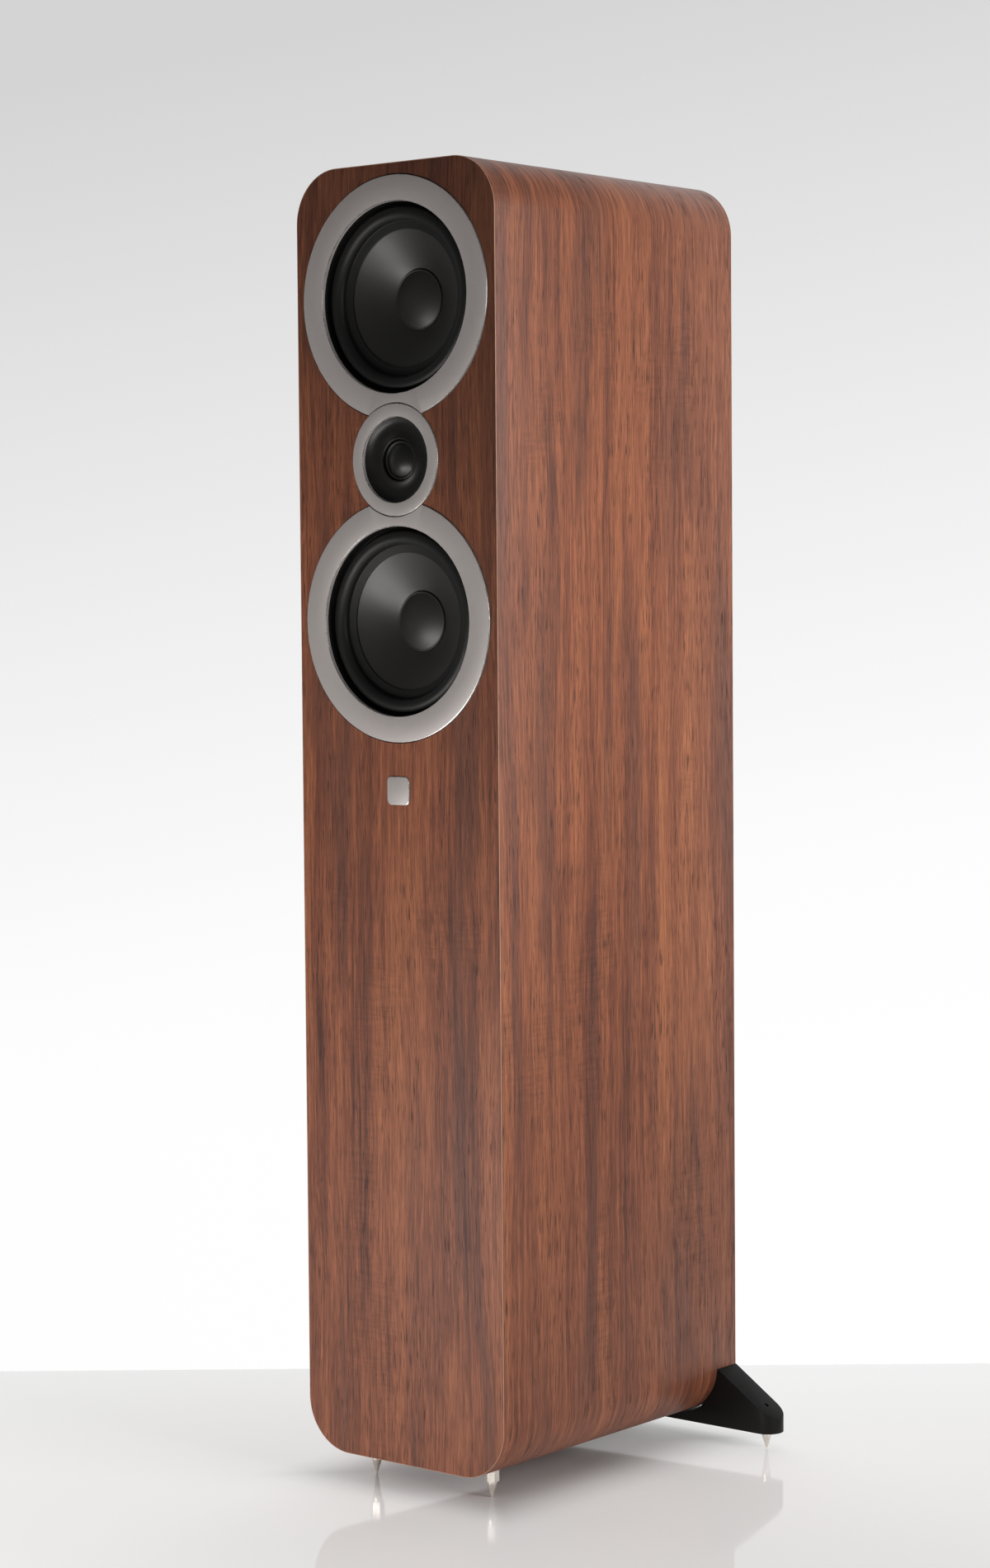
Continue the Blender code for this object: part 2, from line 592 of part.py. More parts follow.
def make_feet():
    """The rear stabiliser, which hugs the cabinet's lower corners, and four levelling spikes."""
    bend = (WIDTH / 2 - CORNER, BOTTOM + CORNER)
    reach_x = CORNER + 0.4 * MM
    reach_z = bend[1] - STABILISER_BAR_TOP
    rise = math.degrees(math.asin((STABILISER_SHOULDER - bend[1]) / reach_z))
    cradle = arc(bend, reach_x, rise, -90, CORNER_STEPS, squash=reach_z / reach_x)
    right = [
        (STABILISER_REACH, STABILISER_UNDERSIDE),
        (STABILISER_REACH, STABILISER_TIP),
        *cradle,
    ]
    left = [(-x, z) for x, z in reversed(right)]
    near = REAR - STABILISER_THICK
    stabiliser = as_mesh(prism("rear_stabiliser", [right + left], near, REAR, "black_metal"))
    half = STABILISER_THICK / 2
    plan = rounded((-STABILISER_REACH, near), (STABILISER_REACH, REAR), half - 0.1 * MM, 6)
    capsule = as_mesh(prism("stabiliser_plan", [plan], 0, 0.1, None, upright=False))
    combine(stabiliser, capsule, "INTERSECT")

    bore = [(0, 0), (1.75, 0), (1.75, 50), (SHANK / MM + 0.3, 50), (SHANK / MM + 0.3, 80), (0, 80)]
    bore_top = 79 * MM
    rear_y = REAR - half
    for label, side in (("left", -1), ("right", 1)):
        at = (side * REAR_SPIKE_OUT, rear_y, bore_top)
        combine(stabiliser, turned(f"rear_{label}_spike_bore", bore, SMALL_SIDES, None, at, FROM_ABOVE))

        r, tip = SHANK / MM, SPIKE_TIP / MM
        under = STABILISER_UNDERSIDE / MM
        shank = 14
        rear = [(0, 0), (r, 0), (r, shank + 3.6), (tip, shank + under), (0, shank + under)]
        make_spike(f"rear_{label}_spike", (at[0], rear_y, STABILISER_UNDERSIDE + shank * MM), rear)

        x, back = FRONT_SPIKE
        shank = 17.5
        collar_top = GROUND_GAP / MM - GAP / MM
        collar_low = 12.4
        drop = shank + collar_top
        front = [(0, 0), (r, 0), (r, drop - 10.4), (tip, drop), (0, drop)]
        collar = (11.4, shank, drop - collar_low)
        top = (side * x, FRONT + back, drop * MM)
        make_spike(f"front_{label}_spike", top, front, collar)


make_cabinet()
make_front()
make_trim_rings()
for woofer, height in WOOFERS.items():
    make_woofer(woofer, height)
make_tweeter()
make_rear()
make_inside()
make_feet()
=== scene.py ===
import math

import bmesh
import bpy
from mathutils import Matrix, Vector, noise
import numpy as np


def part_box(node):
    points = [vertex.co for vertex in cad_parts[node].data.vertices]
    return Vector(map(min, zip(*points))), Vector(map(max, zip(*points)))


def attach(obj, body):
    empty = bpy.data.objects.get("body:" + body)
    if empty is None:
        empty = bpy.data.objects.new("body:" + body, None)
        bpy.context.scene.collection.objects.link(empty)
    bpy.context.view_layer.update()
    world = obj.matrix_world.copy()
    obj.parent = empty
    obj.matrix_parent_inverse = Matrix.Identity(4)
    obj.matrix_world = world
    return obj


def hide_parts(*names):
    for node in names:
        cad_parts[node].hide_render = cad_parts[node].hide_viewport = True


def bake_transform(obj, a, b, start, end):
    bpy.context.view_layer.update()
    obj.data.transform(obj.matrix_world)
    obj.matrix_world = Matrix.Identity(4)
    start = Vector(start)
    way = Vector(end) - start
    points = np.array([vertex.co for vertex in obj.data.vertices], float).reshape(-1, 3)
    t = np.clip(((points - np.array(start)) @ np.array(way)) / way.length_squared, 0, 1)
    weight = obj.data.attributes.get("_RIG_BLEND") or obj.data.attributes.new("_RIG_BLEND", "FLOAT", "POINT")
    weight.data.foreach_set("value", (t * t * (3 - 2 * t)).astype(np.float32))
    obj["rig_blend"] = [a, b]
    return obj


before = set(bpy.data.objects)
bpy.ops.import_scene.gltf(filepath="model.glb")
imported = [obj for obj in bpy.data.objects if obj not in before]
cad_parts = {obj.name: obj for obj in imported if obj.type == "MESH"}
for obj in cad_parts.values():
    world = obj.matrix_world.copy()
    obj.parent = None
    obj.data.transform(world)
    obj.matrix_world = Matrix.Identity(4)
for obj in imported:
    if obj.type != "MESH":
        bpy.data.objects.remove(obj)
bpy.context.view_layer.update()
print("frame loaded:", len(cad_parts), "nodes")

mm = 0.001
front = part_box("front_baffle")[0].y
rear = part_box("rear_panel")[1].y
cabinetLow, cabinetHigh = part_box("veneer_wrap")


def middle(node):
    low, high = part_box(node)
    return (low + high) / 2


class Wire:
    # an output socket, so that maths on it reads as ordinary sums
    def __init__(self, nodes, socket):
        self.nodes = nodes
        self.socket = socket

    def __add__(self, other):
        return self.nodes.sum("ADD", self, other)

    def __sub__(self, other):
        return self.nodes.sum("SUBTRACT", self, other)

    def __rsub__(self, other):
        return self.nodes.sum("SUBTRACT", other, self)

    def __mul__(self, other):
        return self.nodes.sum("MULTIPLY", self, other)

    __radd__ = __add__
    __rmul__ = __mul__


class Nodes:
    def __init__(self, tree):
        self.tree = tree

    def feed(self, node, inputs):
        for name, value in inputs.items():
            socket = node.inputs[name]
            if isinstance(value, Wire):
                self.tree.links.new(value.socket, socket)
            elif socket.type == "RGBA":
                socket.default_value = (*value, 1)
            else:
                socket.default_value = value

    def node(self, kind, settings=None, inputs=None, output=0):
        made = self.tree.nodes.new(kind)
        for name, value in (settings or {}).items():
            if name == "stops":
                stops = made.color_ramp.elements
                while len(stops) < len(value):
                    stops.new(0.5)
                for stop, (position, colour) in zip(stops, value):
                    stop.position = position
                    stop.color = (*colour, 1)
            else:
                setattr(made, name, value)
        self.feed(made, inputs or {})
        return Wire(self, made.outputs[output]) if made.outputs else made

    def sum(self, operation, first, second):
        return self.node("ShaderNodeMath", {"operation": operation}, {0: first, 1: second})

    def between(self, value, low, high, smooth=True):
        # 0 below low, 1 above high
        kind = "SMOOTHSTEP" if smooth else "LINEAR"
        inputs = {"Value": value, "From Min": low, "From Max": high}
        return self.node("ShaderNodeMapRange", {"interpolation_type": kind}, inputs)

    def mix(self, share, first, second, blend="MIX"):
        settings = {"data_type": "RGBA", "blend_type": blend}
        return self.node("ShaderNodeMix", settings, {0: share, 6: first, 7: second}, 2)

    def noise(self, place, scale, detail=3, rough=0.5, shift=(0, 0, 0)):
        # scale is one number, or one for each axis to stretch the noise
        sizes = scale if isinstance(scale, tuple) else (scale, scale, scale)
        spread = {"Vector": place, "Location": shift, "Scale": sizes}
        moved = self.node("ShaderNodeMapping", inputs=spread)
        settings = {"noise_dimensions": "3D"}
        inputs = {"Vector": moved, "Scale": 1, "Detail": detail, "Roughness": rough}
        return self.node("ShaderNodeTexNoise", settings, inputs)

    def objectPlace(self):
        return self.node("ShaderNodeTexCoord", output=3)


class Finish(Nodes):
    # a Principled material and the record's slot that it belongs to
    def __init__(self, name, slot, **inputs):
        self.material = bpy.data.materials.new(name)
        self.material.use_nodes = True
        self.slot = slot
        super().__init__(self.material.node_tree)
        self.shader = self.tree.nodes["Principled BSDF"]
        self.paint(**inputs)

    def paint(self, **inputs):
        self.feed(self.shader, {name.replace("_", " "): value for name, value in inputs.items()})

    def bump(self, height, strength, distance):
        inputs = {"Height": height, "Strength": strength, "Distance": distance}
        self.paint(Normal=self.node("ShaderNodeBump", inputs=inputs))


walnutLook = {
    "dark": (0.076, 0.030, 0.022),
    "brown": (0.174, 0.061, 0.036),
    "middle": (0.268, 0.093, 0.049),
    "amber": (0.380, 0.142, 0.066),
    "grey": (0.105, 0.048, 0.038),
    "pore": (0.040, 0.015, 0.010),
    # the wrap's rim colour: partly the foil's bare edge, partly a painted highlight on the bevel
    "edge": (0.46, 0.26, 0.17),
    "toneAt": {"dark": 0.36, "brown": 0.44, "middle": 0.515, "amber": 0.635},
    "share": {"broad": 0.26, "bands": 0.30, "streaks": 0.44},
    "sway": {"waver": 0.034, "ripple": 0.0026},
    "smokeFrom": (0.50, 0.68), "smokeDepth": 0.55,
    "lineFrom": (0.33, 0.65), "lineDepth": 0.54, "lineFloor": 0.69,
    "patchFrom": (0.53, 0.68), "figureFrom": (0.42, 0.62), "figureDepth": 0.15,
    "crowdFrom": (0.38, 0.62), "crowdDepth": 0.7, "crowdFloor": 0.3,
    "dashFrom": (0.57, 0.66), "poreDepth": 0.70,
    "rough": {"base": 0.56, "pores": 0.2, "shade": 0.15}, "specular": 0.34,
    "bump": {"lines": 0.3, "strength": 0.25, "distance": 0.0001},
}
# noises across the grain, along it, and through it, in waves to the metre
swayNoises = {
    "waver": {"scale": (7, 1.8, 1), "detail": 3},
    "ripple": {"scale": (24, 11, 1), "detail": 2, "shift": (3, 1, 0)},
}
crossNoises = {
    "figure": {"scale": (42, 300, 1), "detail": 3, "rough": 0.65, "shift": (4, 9, 0)},
    "patches": {"scale": (13, 6, 1), "detail": 2, "shift": (6, 1, 0)},
}
grainNoises = {
    "broad": {"scale": (17, 1.1, 1), "detail": 2, "shift": (1.7, 4, 0)},
    "bands": {"scale": (62, 1.9, 1), "detail": 3, "rough": 0.55, "shift": (5, 2, 0)},
    "streaks": {"scale": (290, 8, 1), "detail": 5, "rough": 0.72, "shift": (2, 7, 0)},
    "smoke": {"scale": (40, 2.6, 1), "detail": 3, "shift": (11, 5, 0)},
    "lines": {"scale": (720, 26, 1), "detail": 3, "rough": 0.75, "shift": (8, 3, 0)},
    "dashes": {"scale": (980, 52, 1), "detail": 1, "shift": (7, 7, 0)},
    "crowds": {"scale": (60, 6, 1), "detail": 2, "shift": (9, 2, 0)},
}


def makeWalnut(name, paintedShade=None):
    # the grain map holds metres across the grain and metres along it
    look = walnutLook
    wood = Finish(name, "walnut_foil", Specular_IOR_Level=look["specular"])
    flat = wood.node("ShaderNodeUVMap", {"uv_map": "grain"})
    sway = 0
    for noiseName, settings in swayNoises.items():
        sway = (wood.noise(flat, **settings) - 0.5) * look["sway"][noiseName] + sway
    swayed = wood.node("ShaderNodeCombineXYZ", inputs={"X": sway})
    grain = wood.node("ShaderNodeVectorMath", {"operation": "ADD"}, {0: flat, 1: swayed})
    cross = {part: wood.noise(flat, **settings) for part, settings in crossNoises.items()}
    run = {part: wood.noise(grain, **settings) for part, settings in grainNoises.items()}

    tone = sum(run[part] * share for part, share in look["share"].items())
    stops = [(place, look[colour]) for colour, place in look["toneAt"].items()]
    colour = wood.node("ShaderNodeValToRGB", {"stops": stops}, {"Fac": tone})
    smoke = wood.between(run["smoke"], *look["smokeFrom"]) * look["smokeDepth"]
    colour = wood.mix(smoke, colour, look["grey"])

    # fine lines, and a faint cross figure of short ripples in patches
    shade = wood.between(run["lines"], *look["lineFrom"]) * look["lineDepth"] + look["lineFloor"]
    patches = wood.between(cross["patches"], *look["patchFrom"])
    figure = wood.between(cross["figure"], *look["figureFrom"]) * look["figureDepth"]
    shade = shade * (1 - patches * figure)
    # painted shade: the foil is made darker towards the top of the front, and more so towards its right, in
    # place of the light that falls off there
    if paintedShade:
        spot = wood.node("ShaderNodeSeparateXYZ", inputs={"Vector": wood.objectPlace()})
        height = Wire(wood, spot.socket.node.outputs[2])
        slope = height + spot * paintedShade["slant"]
        shade = shade * (1 - wood.between(slope, paintedShade["low"], paintedShade["high"]) * paintedShade["depth"])
    shading = wood.node("ShaderNodeCombineColor", inputs={0: shade, 1: shade, 2: shade})
    colour = wood.mix(1.0, colour, shading, "MULTIPLY")

    # open pores, short dashes along the grain
    crowds = wood.between(run["crowds"], *look["crowdFrom"]) * look["crowdDepth"]
    pores = wood.between(run["dashes"], *look["dashFrom"]) * (crowds + look["crowdFloor"])
    colour = wood.mix(pores * look["poreDepth"], colour, look["pore"])
    rough, bump = look["rough"], look["bump"]
    roughness = pores * rough["pores"] - shade * rough["shade"] + rough["base"]
    wood.paint(Base_Color=colour, Roughness=roughness)
    wood.bump(1 - pores + run["lines"] * bump["lines"], bump["strength"], bump["distance"])
    return wood


def makeGrained(
    name, slot, colour, rough, metallic=0.0, size=900, mottle=0.08, bump=0.15, depth=0.0001, **more
):
    # an even colour with a fine mottle, for paint, plastic, cast and ground metal
    finish = Finish(name, slot, Metallic=metallic, **more)
    place = finish.objectPlace()
    fine = finish.noise(place, size, detail=3, rough=0.6)
    cloud = finish.noise(place, size / 14, detail=2)
    shade = (fine - 0.5) * mottle * 2 + (cloud - 0.5) * mottle + 1
    tint = finish.node("ShaderNodeCombineColor", inputs={0: shade, 1: shade, 2: shade})
    painted = finish.mix(1.0, colour, tint, "MULTIPLY")
    finish.paint(Base_Color=painted, Roughness=(cloud - 0.5) * 0.12 + (fine - 0.5) * 0.1 + rough)
    finish.bump(fine, bump, depth)
    return finish


walnut = makeWalnut("walnutFoil")
# a shaded copy of the walnut foil for the front baffle, with painted shade darker towards its top and right
shadedFrontWalnut = makeWalnut("shadedFrontWalnutFoil", {"slant": 1.5, "low": 0.58, "high": 1.08, "depth": 0.5})
foilEdgeAndHighlight = makeGrained("foilEdgeAndHighlight", "walnut_foil", walnutLook["edge"], 0.45, size=600, mottle=0.12)
satinSilver = makeGrained(
    "satinSilver", "satin_silver", (0.510, 0.473, 0.460), 0.46, 0.33,
    size=2600, mottle=0.05, bump=0.06,
)
polishedEdge = makeGrained(
    "polishedEdge", "satin_silver", (0.74, 0.72, 0.70), 0.27, 1.0,
    size=1500, mottle=0.02, bump=0.02,
)
blackCasting = makeGrained(
    "blackCasting", "black_casting", (0.0070, 0.0066, 0.0065), 0.50,
    size=1600, mottle=0.2, bump=0.3, Specular_IOR_Level=0.2,
)
conePaper = makeGrained(
    "conePaper", "cone_paper", (0.0230, 0.0221, 0.0210), 0.42,
    size=700, mottle=0.12, bump=0.05, Specular_IOR_Level=0.62,
)
blackRubber = makeGrained(
    "blackRubber", "black_rubber", (0.0090, 0.0087, 0.0086), 0.48,
    size=1200, mottle=0.1, bump=0.08, Specular_IOR_Level=0.35,
)
domeSilk = makeGrained(
    "domeSilk", "dome_silk", (0.0150, 0.0144, 0.0140), 0.36,
    size=3200, mottle=0.2, bump=0.1, Specular_IOR_Level=0.4,
)
blackPlastic = makeGrained(
    "blackPlastic", "black_plastic", (0.0090, 0.0086, 0.0080), 0.38,
    size=1800, mottle=0.15, bump=0.12, Specular_IOR_Level=0.4,
)
rearFoil = makeGrained(
    "rearFoil", "rear_foil", (0.022, 0.021, 0.021), 0.55, size=2200, mottle=0.3, bump=0.4,
)
redPlastic = makeGrained(
    "redPlastic", "red_plastic", (0.50, 0.012, 0.014), 0.25, size=1500, mottle=0.05, bump=0.05,
)
goldPlate = makeGrained(
    "goldPlate", "gold_plate", (0.86, 0.60, 0.24), 0.22, 1.0, size=1500, mottle=0.05, bump=0.05,
)
brightSteel = makeGrained(
    "brightSteel", "bright_steel", (0.88, 0.83, 0.76), 0.28, 0.8,
    size=1300, mottle=0.05, bump=0.06,
)
platedSteel = makeGrained(
    "platedSteel", "plated_steel", (0.52, 0.51, 0.50), 0.34, 1.0, size=800, mottle=0.12, bump=0.1,
)
ferrite = makeGrained(
    "ferrite", "ferrite", (0.045, 0.045, 0.048), 0.55, 0.1, size=900, mottle=0.25, bump=0.25,
)
copperWinding = makeGrained(
    "copperWinding", "copper_winding", (0.70, 0.30, 0.13), 0.30, 1.0,
    size=500, mottle=0.15, bump=0.1,
)
spiderCloth = makeGrained(
    "spiderCloth", "spider_cloth", (0.42, 0.26, 0.09), 0.85, size=2500, mottle=0.3, bump=0.6,
)
fibreboard = makeGrained(
    "fibreboard", "fibreboard", (0.40, 0.29, 0.18), 0.85, size=900, mottle=0.25, bump=0.3,
)
circuitBoard = makeGrained(
    "circuitBoard", "circuit_board", (0.020, 0.13, 0.05), 0.40, size=300, mottle=0.3, bump=0.1,
)
waddingFleece = makeGrained(
    "waddingFleece", "wadding", (0.78, 0.78, 0.75), 0.95,
    size=260, mottle=0.2, bump=0.9, depth=0.001,
)
print("finishes made:", len(bpy.data.materials))


def fromFront(x, z):
    return Matrix.Translation((x, front, z)) @ Matrix.Scale(mm, 4)


def fromRear(x, z):
    return Matrix.Translation((x, rear, z)) @ Matrix.Rotation(math.pi, 4, "Z") @ Matrix.Scale(mm, 4)


def fromAbove(x, y, z):
    down = Matrix.Rotation(-math.pi / 2, 4, "X")
    return Matrix.Translation((x, y, z)) @ down @ Matrix.Scale(mm, 4)


def tidy(mesh, distance=1e-7):
    bmesh.ops.remove_doubles(mesh, verts=mesh.verts, dist=distance)
    bmesh.ops.recalc_face_normals(mesh, faces=mesh.faces)
    return mesh


def turned(profile, place, closed=True, sides=128, roundSteps=5):
    # a profile of (radius, depth) or (radius, depth, rounding) in millimetres, spun about its depth
    # axis; ("turn", radius, depth, degrees) sweeps the tip of the profile about that point
    mesh = bmesh.new()
    first = tip = None
    corners = []
    for point in profile:
        if point[0] == "turn":
            centre, degrees = (point[1], point[2], 0), point[3]
            swept = bmesh.ops.spin(
                mesh, geom=[tip], cent=centre, axis=(0, 0, 1), angle=math.radians(degrees),
                steps=max(3, round(abs(degrees) / 8)), use_duplicate=False,
            )
            tip = next(v for v in swept["geom_last"] if isinstance(v, bmesh.types.BMVert))
            continue
        corner = mesh.verts.new((point[0], point[1], 0))
        if tip:
            mesh.edges.new((tip, corner))
        first, tip = first or corner, corner
        corners += [(corner, point[2])] if len(point) > 2 else []
    if closed:
        mesh.edges.new((tip, first))
    for corner, size in corners:
        bmesh.ops.bevel(
            mesh, geom=[corner], offset=size, segments=roundSteps, profile=0.5,
            affect="VERTICES", material=-1,
        )
    bmesh.ops.remove_doubles(mesh, verts=mesh.verts, dist=1e-4)
    bmesh.ops.spin(
        mesh, geom=list(mesh.edges), cent=(0, 0, 0), axis=(0, 1, 0), angle=math.tau,
        steps=sides, use_merge=True, use_duplicate=False,
    )
    tidy(mesh, 1e-4)
    bmesh.ops.transform(mesh, matrix=place, verts=mesh.verts)
    return mesh


def alongAxis(edge, axis):
    way = edge.verts[1].co - edge.verts[0].co
    return abs(way.normalized()[axis]) > 0.999


def roundedBox(low, high, radius, axis=1, segments=24):
    # a block between two corners, with its four edges along one axis rounded
    low, high = Vector(low), Vector(high)
    mesh = bmesh.new()
    bmesh.ops.create_cube(mesh, size=1)
    bmesh.ops.scale(mesh, vec=high - low, verts=mesh.verts)
    bmesh.ops.translate(mesh, vec=(low + high) / 2, verts=mesh.verts)
    if radius:
        edges = [e for e in mesh.edges if alongAxis(e, axis)]
        bmesh.ops.bevel(
            mesh, geom=edges, offset=radius, segments=segments, profile=0.5,
            affect="EDGES", material=-1,
        )
    return tidy(mesh)


def softenEdges(mesh, width, segments=2, sharper=35, where=None):
    # bevels every edge where the faces meet at more than that angle
    limit = math.radians(sharper)
    edges = [
        e for e in mesh.edges
        if len(e.link_faces) == 2 and e.calc_face_angle() > limit and (where is None or where(e))
    ]
    bmesh.ops.bevel(
        mesh, geom=edges, offset=width, segments=segments, profile=0.5,
        affect="EDGES", material=-1, clamp_overlap=True,
    )
    return mesh


def carved(mesh, cutters, operation="DIFFERENCE"):
    # the mesh after a Boolean with each cutter mesh
    scene = bpy.context.scene.collection
    base = bpy.data.objects.new("carving", bpy.data.meshes.new("carving"))
    mesh.to_mesh(base.data)
    mesh.free()
    scene.objects.link(base)
    helpers = []
    for cutter in cutters:
        helper = bpy.data.objects.new("cutter", bpy.data.meshes.new("cutter"))
        cutter.to_mesh(helper.data)
        cutter.free()
        scene.objects.link(helper)
        helpers.append(helper)
        change = base.modifiers.new("carve", "BOOLEAN")
        change.object = helper
        change.operation = operation
        change.solver = "EXACT"
    bpy.context.view_layer.update()
    shape = base.evaluated_get(bpy.context.evaluated_depsgraph_get())
    result = bmesh.new()
    result.from_mesh(shape.to_mesh())
    shape.to_mesh_clear()
    for leftover in [base, *helpers]:
        data = leftover.data
        bpy.data.objects.remove(leftover)
        bpy.data.meshes.remove(data)
    bmesh.ops.remove_doubles(result, verts=result.verts, dist=2e-6)
    bmesh.ops.dissolve_degenerate(result, edges=result.edges, dist=1e-6)
    # a Boolean can leave out a triangle where two cuts meet at a tip
    gaps = [e for e in result.edges if e.is_boundary]
    bmesh.ops.holes_fill(result, edges=gaps, sides=3)
    return result


def pieceName(node):
    # a name of its own, so that the CAD node keeps the one it has
    first, *others = node.split("_")
    return first + "".join(word.capitalize() for word in others or ["tile"])


def finished(node, mesh, finishes, body, smooth=32):
    # a mesh made into a piece that rides on its body and stands for its CAD node, if it has one
    name = pieceName(node)
    data = bpy.data.meshes.new(name)
    mesh.to_mesh(data)
    mesh.free()
    for finish in finishes:
        data.materials.append(finish.material)
    data.shade_smooth()
    data.set_sharp_from_angle(angle=math.radians(smooth))
    piece = bpy.data.objects.new(name, data)
    bpy.context.scene.collection.objects.link(piece)
    if body:
        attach(piece, body)
    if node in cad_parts:
        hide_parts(node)
    return piece


def paintFaces(mesh, index, chosen):
    for face in mesh.faces:
        if chosen(face):
            face.material_index = index


view = {
    "place": (1.7141, -2.1063, 0.701), "turn": 39.596, "dip": 3.2765, "roll": -0.460, "lens": 77.81,
}

camera = bpy.data.objects.new("camera", bpy.data.cameras.new("camera"))
bpy.context.scene.collection.objects.link(camera)
bpy.context.scene.camera = camera
camera.data.lens = view["lens"]
turn = Matrix.Rotation(math.radians(view["turn"]), 4, "Z")
dip = Matrix.Rotation(math.radians(90 - view["dip"]), 4, "X")
roll = Matrix.Rotation(math.radians(view["roll"]), 4, "Z")
camera.matrix_world = Matrix.Translation(view["place"]) @ turn @ dip @ roll
bpy.context.scene.view_settings.view_transform = "Standard"

table = {
    "reach": 3.03, "width": 2.7, "length": 2.15, "thick": 0.04, "edge": 0.004,
    "colour": (0.78, 0.78, 0.78), "rough": 0.05, "specular": 0.03,
    # shade and soft give the size and softness of a painted shadow in the table's glow, under the cabinet
    "glow": 0.36, "glowTint": (1, 0.995, 0.99), "shade": (0.055, 0.105), "soft": (-0.01, 0.085),
}


def makeTable():
    mesh = roundedBox(
        (-table["width"] / 2, table["reach"] - table["length"], -table["thick"]),
        (table["width"] / 2, table["reach"], 0), 0,
    )
    softenEdges(mesh, table["edge"], 4)
    eye = Matrix.Translation((view["place"][0], view["place"][1], 0))
    bmesh.ops.transform(mesh, matrix=eye @ turn, verts=mesh.verts)
    data = bpy.data.meshes.new("table")
    mesh.to_mesh(data)
    mesh.free()
    top = Finish(
        "tableTop", None, Base_Color=table["colour"], Roughness=table["rough"],
        Specular_IOR_Level=table["specular"], Emission_Strength=table["glow"],
    )
    spot = top.node("ShaderNodeSeparateXYZ", inputs={"Vector": top.objectPlace()})
    depth = Wire(top, spot.socket.node.outputs[1])
    aside = top.sum("ABSOLUTE", spot, 0) - table["shade"][0]
    behind = top.sum("ABSOLUTE", depth, 0) - table["shade"][1]
    # painted shadow: the table's glow dies away under the cabinet, in place of the shade the cabinet casts
    outsidePaintedShadow = top.between(top.sum("MAXIMUM", aside, behind), *table["soft"])
    tinted = {channel: outsidePaintedShadow * share for channel, share in enumerate(table["glowTint"])}
    top.paint(Emission_Color=top.node("ShaderNodeCombineColor", inputs=tinted))
    data.materials.append(top.material)
    data.shade_smooth()
    data.set_sharp_from_angle(angle=math.radians(40))
    slab = bpy.data.objects.new("table", data)
    bpy.context.scene.collection.objects.link(slab)


backdrop = {
    "stops": [
        (0.0, (1.0, 1.0, 1.0)), (0.20, (0.98, 0.98, 0.98)),
        (0.5, (0.87, 0.87, 0.87)), (1.0, (0.66, 0.66, 0.66)),
    ],
    "low": -0.16, "high": 0.17, "lean": 0.57, "room": 0.08, "glow": 0.95,
    "facing": (0.15, 0.85), "horizon": (-0.4, 0.0), "floorShare": 0.3,
}


def makeWorld():
    world = bpy.data.worlds.new("studio")
    bpy.context.scene.world = world
    world.use_nodes = True
    world.node_tree.nodes.clear()
    sky = Nodes(world.node_tree)
    way = sky.node("ShaderNodeTexCoord", output=0)
    split = sky.node("ShaderNodeSeparateXYZ", inputs={"Vector": way})
    height = Wire(sky, split.socket.node.outputs[2])
    dot = {"operation": "DOT_PRODUCT"}
    across = (turn @ Vector((1, 0, 0, 0))).to_3d()
    sideways = sky.node("ShaderNodeVectorMath", dot, {0: way, 1: across}, 1)
    climb = sky.between(height, backdrop["low"], backdrop["high"], smooth=False)
    climb = climb - sideways * backdrop["lean"]
    seen = sky.node("ShaderNodeValToRGB", {"stops": backdrop["stops"]}, {"Fac": climb})
    ahead = (turn @ Vector((0, 1, 0, 0))).to_3d()
    facing = sky.node("ShaderNodeVectorMath", dot, {0: way, 1: ahead}, 1)
    # the camera's side of the room is dark, and so is what lies below the horizon
    room, floor = backdrop["room"], backdrop["floorShare"]
    lit = sky.between(facing, *backdrop["facing"]) * (backdrop["glow"] - room) + room
    lit = lit * (sky.between(height, *backdrop["horizon"]) * (1 - floor) + floor)
    cameraRay = sky.node("ShaderNodeLightPath")
    pale = sky.node("ShaderNodeBackground", inputs={"Color": seen})
    lighting = sky.node("ShaderNodeBackground", inputs={"Color": (1, 1, 1), "Strength": lit})
    both = sky.node("ShaderNodeMixShader", inputs={0: cameraRay, 1: lighting, 2: pale})
    sky.node("ShaderNodeOutputWorld", inputs={"Surface": both})


lamps = {
    "sideBox": {
        "place": (1.8, 0.05, 0.90), "aim": (0.1, -0.02, 0.78), "size": (0.8, 0.8),
        "spread": 70, "power": 5.4, "colour": (1, 0.98, 0.96),
    },
    "topBox": {
        "place": (0.3, 0.4, 2.8), "aim": (0.1, 0.1, 0), "size": (2.4, 1.1),
        "spread": 180, "power": 6.4, "colour": (1, 1, 1),
    },
    "tableGlow": {
        "place": (-0.05, -1.0, 0.03), "aim": (0, -0.15, 0.6), "size": (0.9, 0.45),
        "spread": 180, "power": 11.3, "colour": (1, 0.97, 0.94),
    },
}


def makeLamps():
    for name, lamp in lamps.items():
        light = bpy.data.lights.new(name, "AREA")
        light.shape = "RECTANGLE"
        light.size, light.size_y = lamp["size"]
        light.energy = lamp["power"]
        light.spread = math.radians(lamp["spread"])
        light.color = lamp["colour"]
        holder = bpy.data.objects.new(name, light)
        aim = Vector(lamp["aim"]) - Vector(lamp["place"])
        holder.location = lamp["place"]
        holder.rotation_euler = aim.to_track_quat("-Z", "Y").to_euler()
        bpy.context.scene.collection.objects.link(holder)


makeTable()
makeWorld()
makeLamps()
print("camera, table and light made")


cabinet = {
    "corner": 41 * mm, "foil": 0.6 * mm, "rim": 0.28 * mm, "seam": 0.06 * mm, "cornerSteps": 28,
}


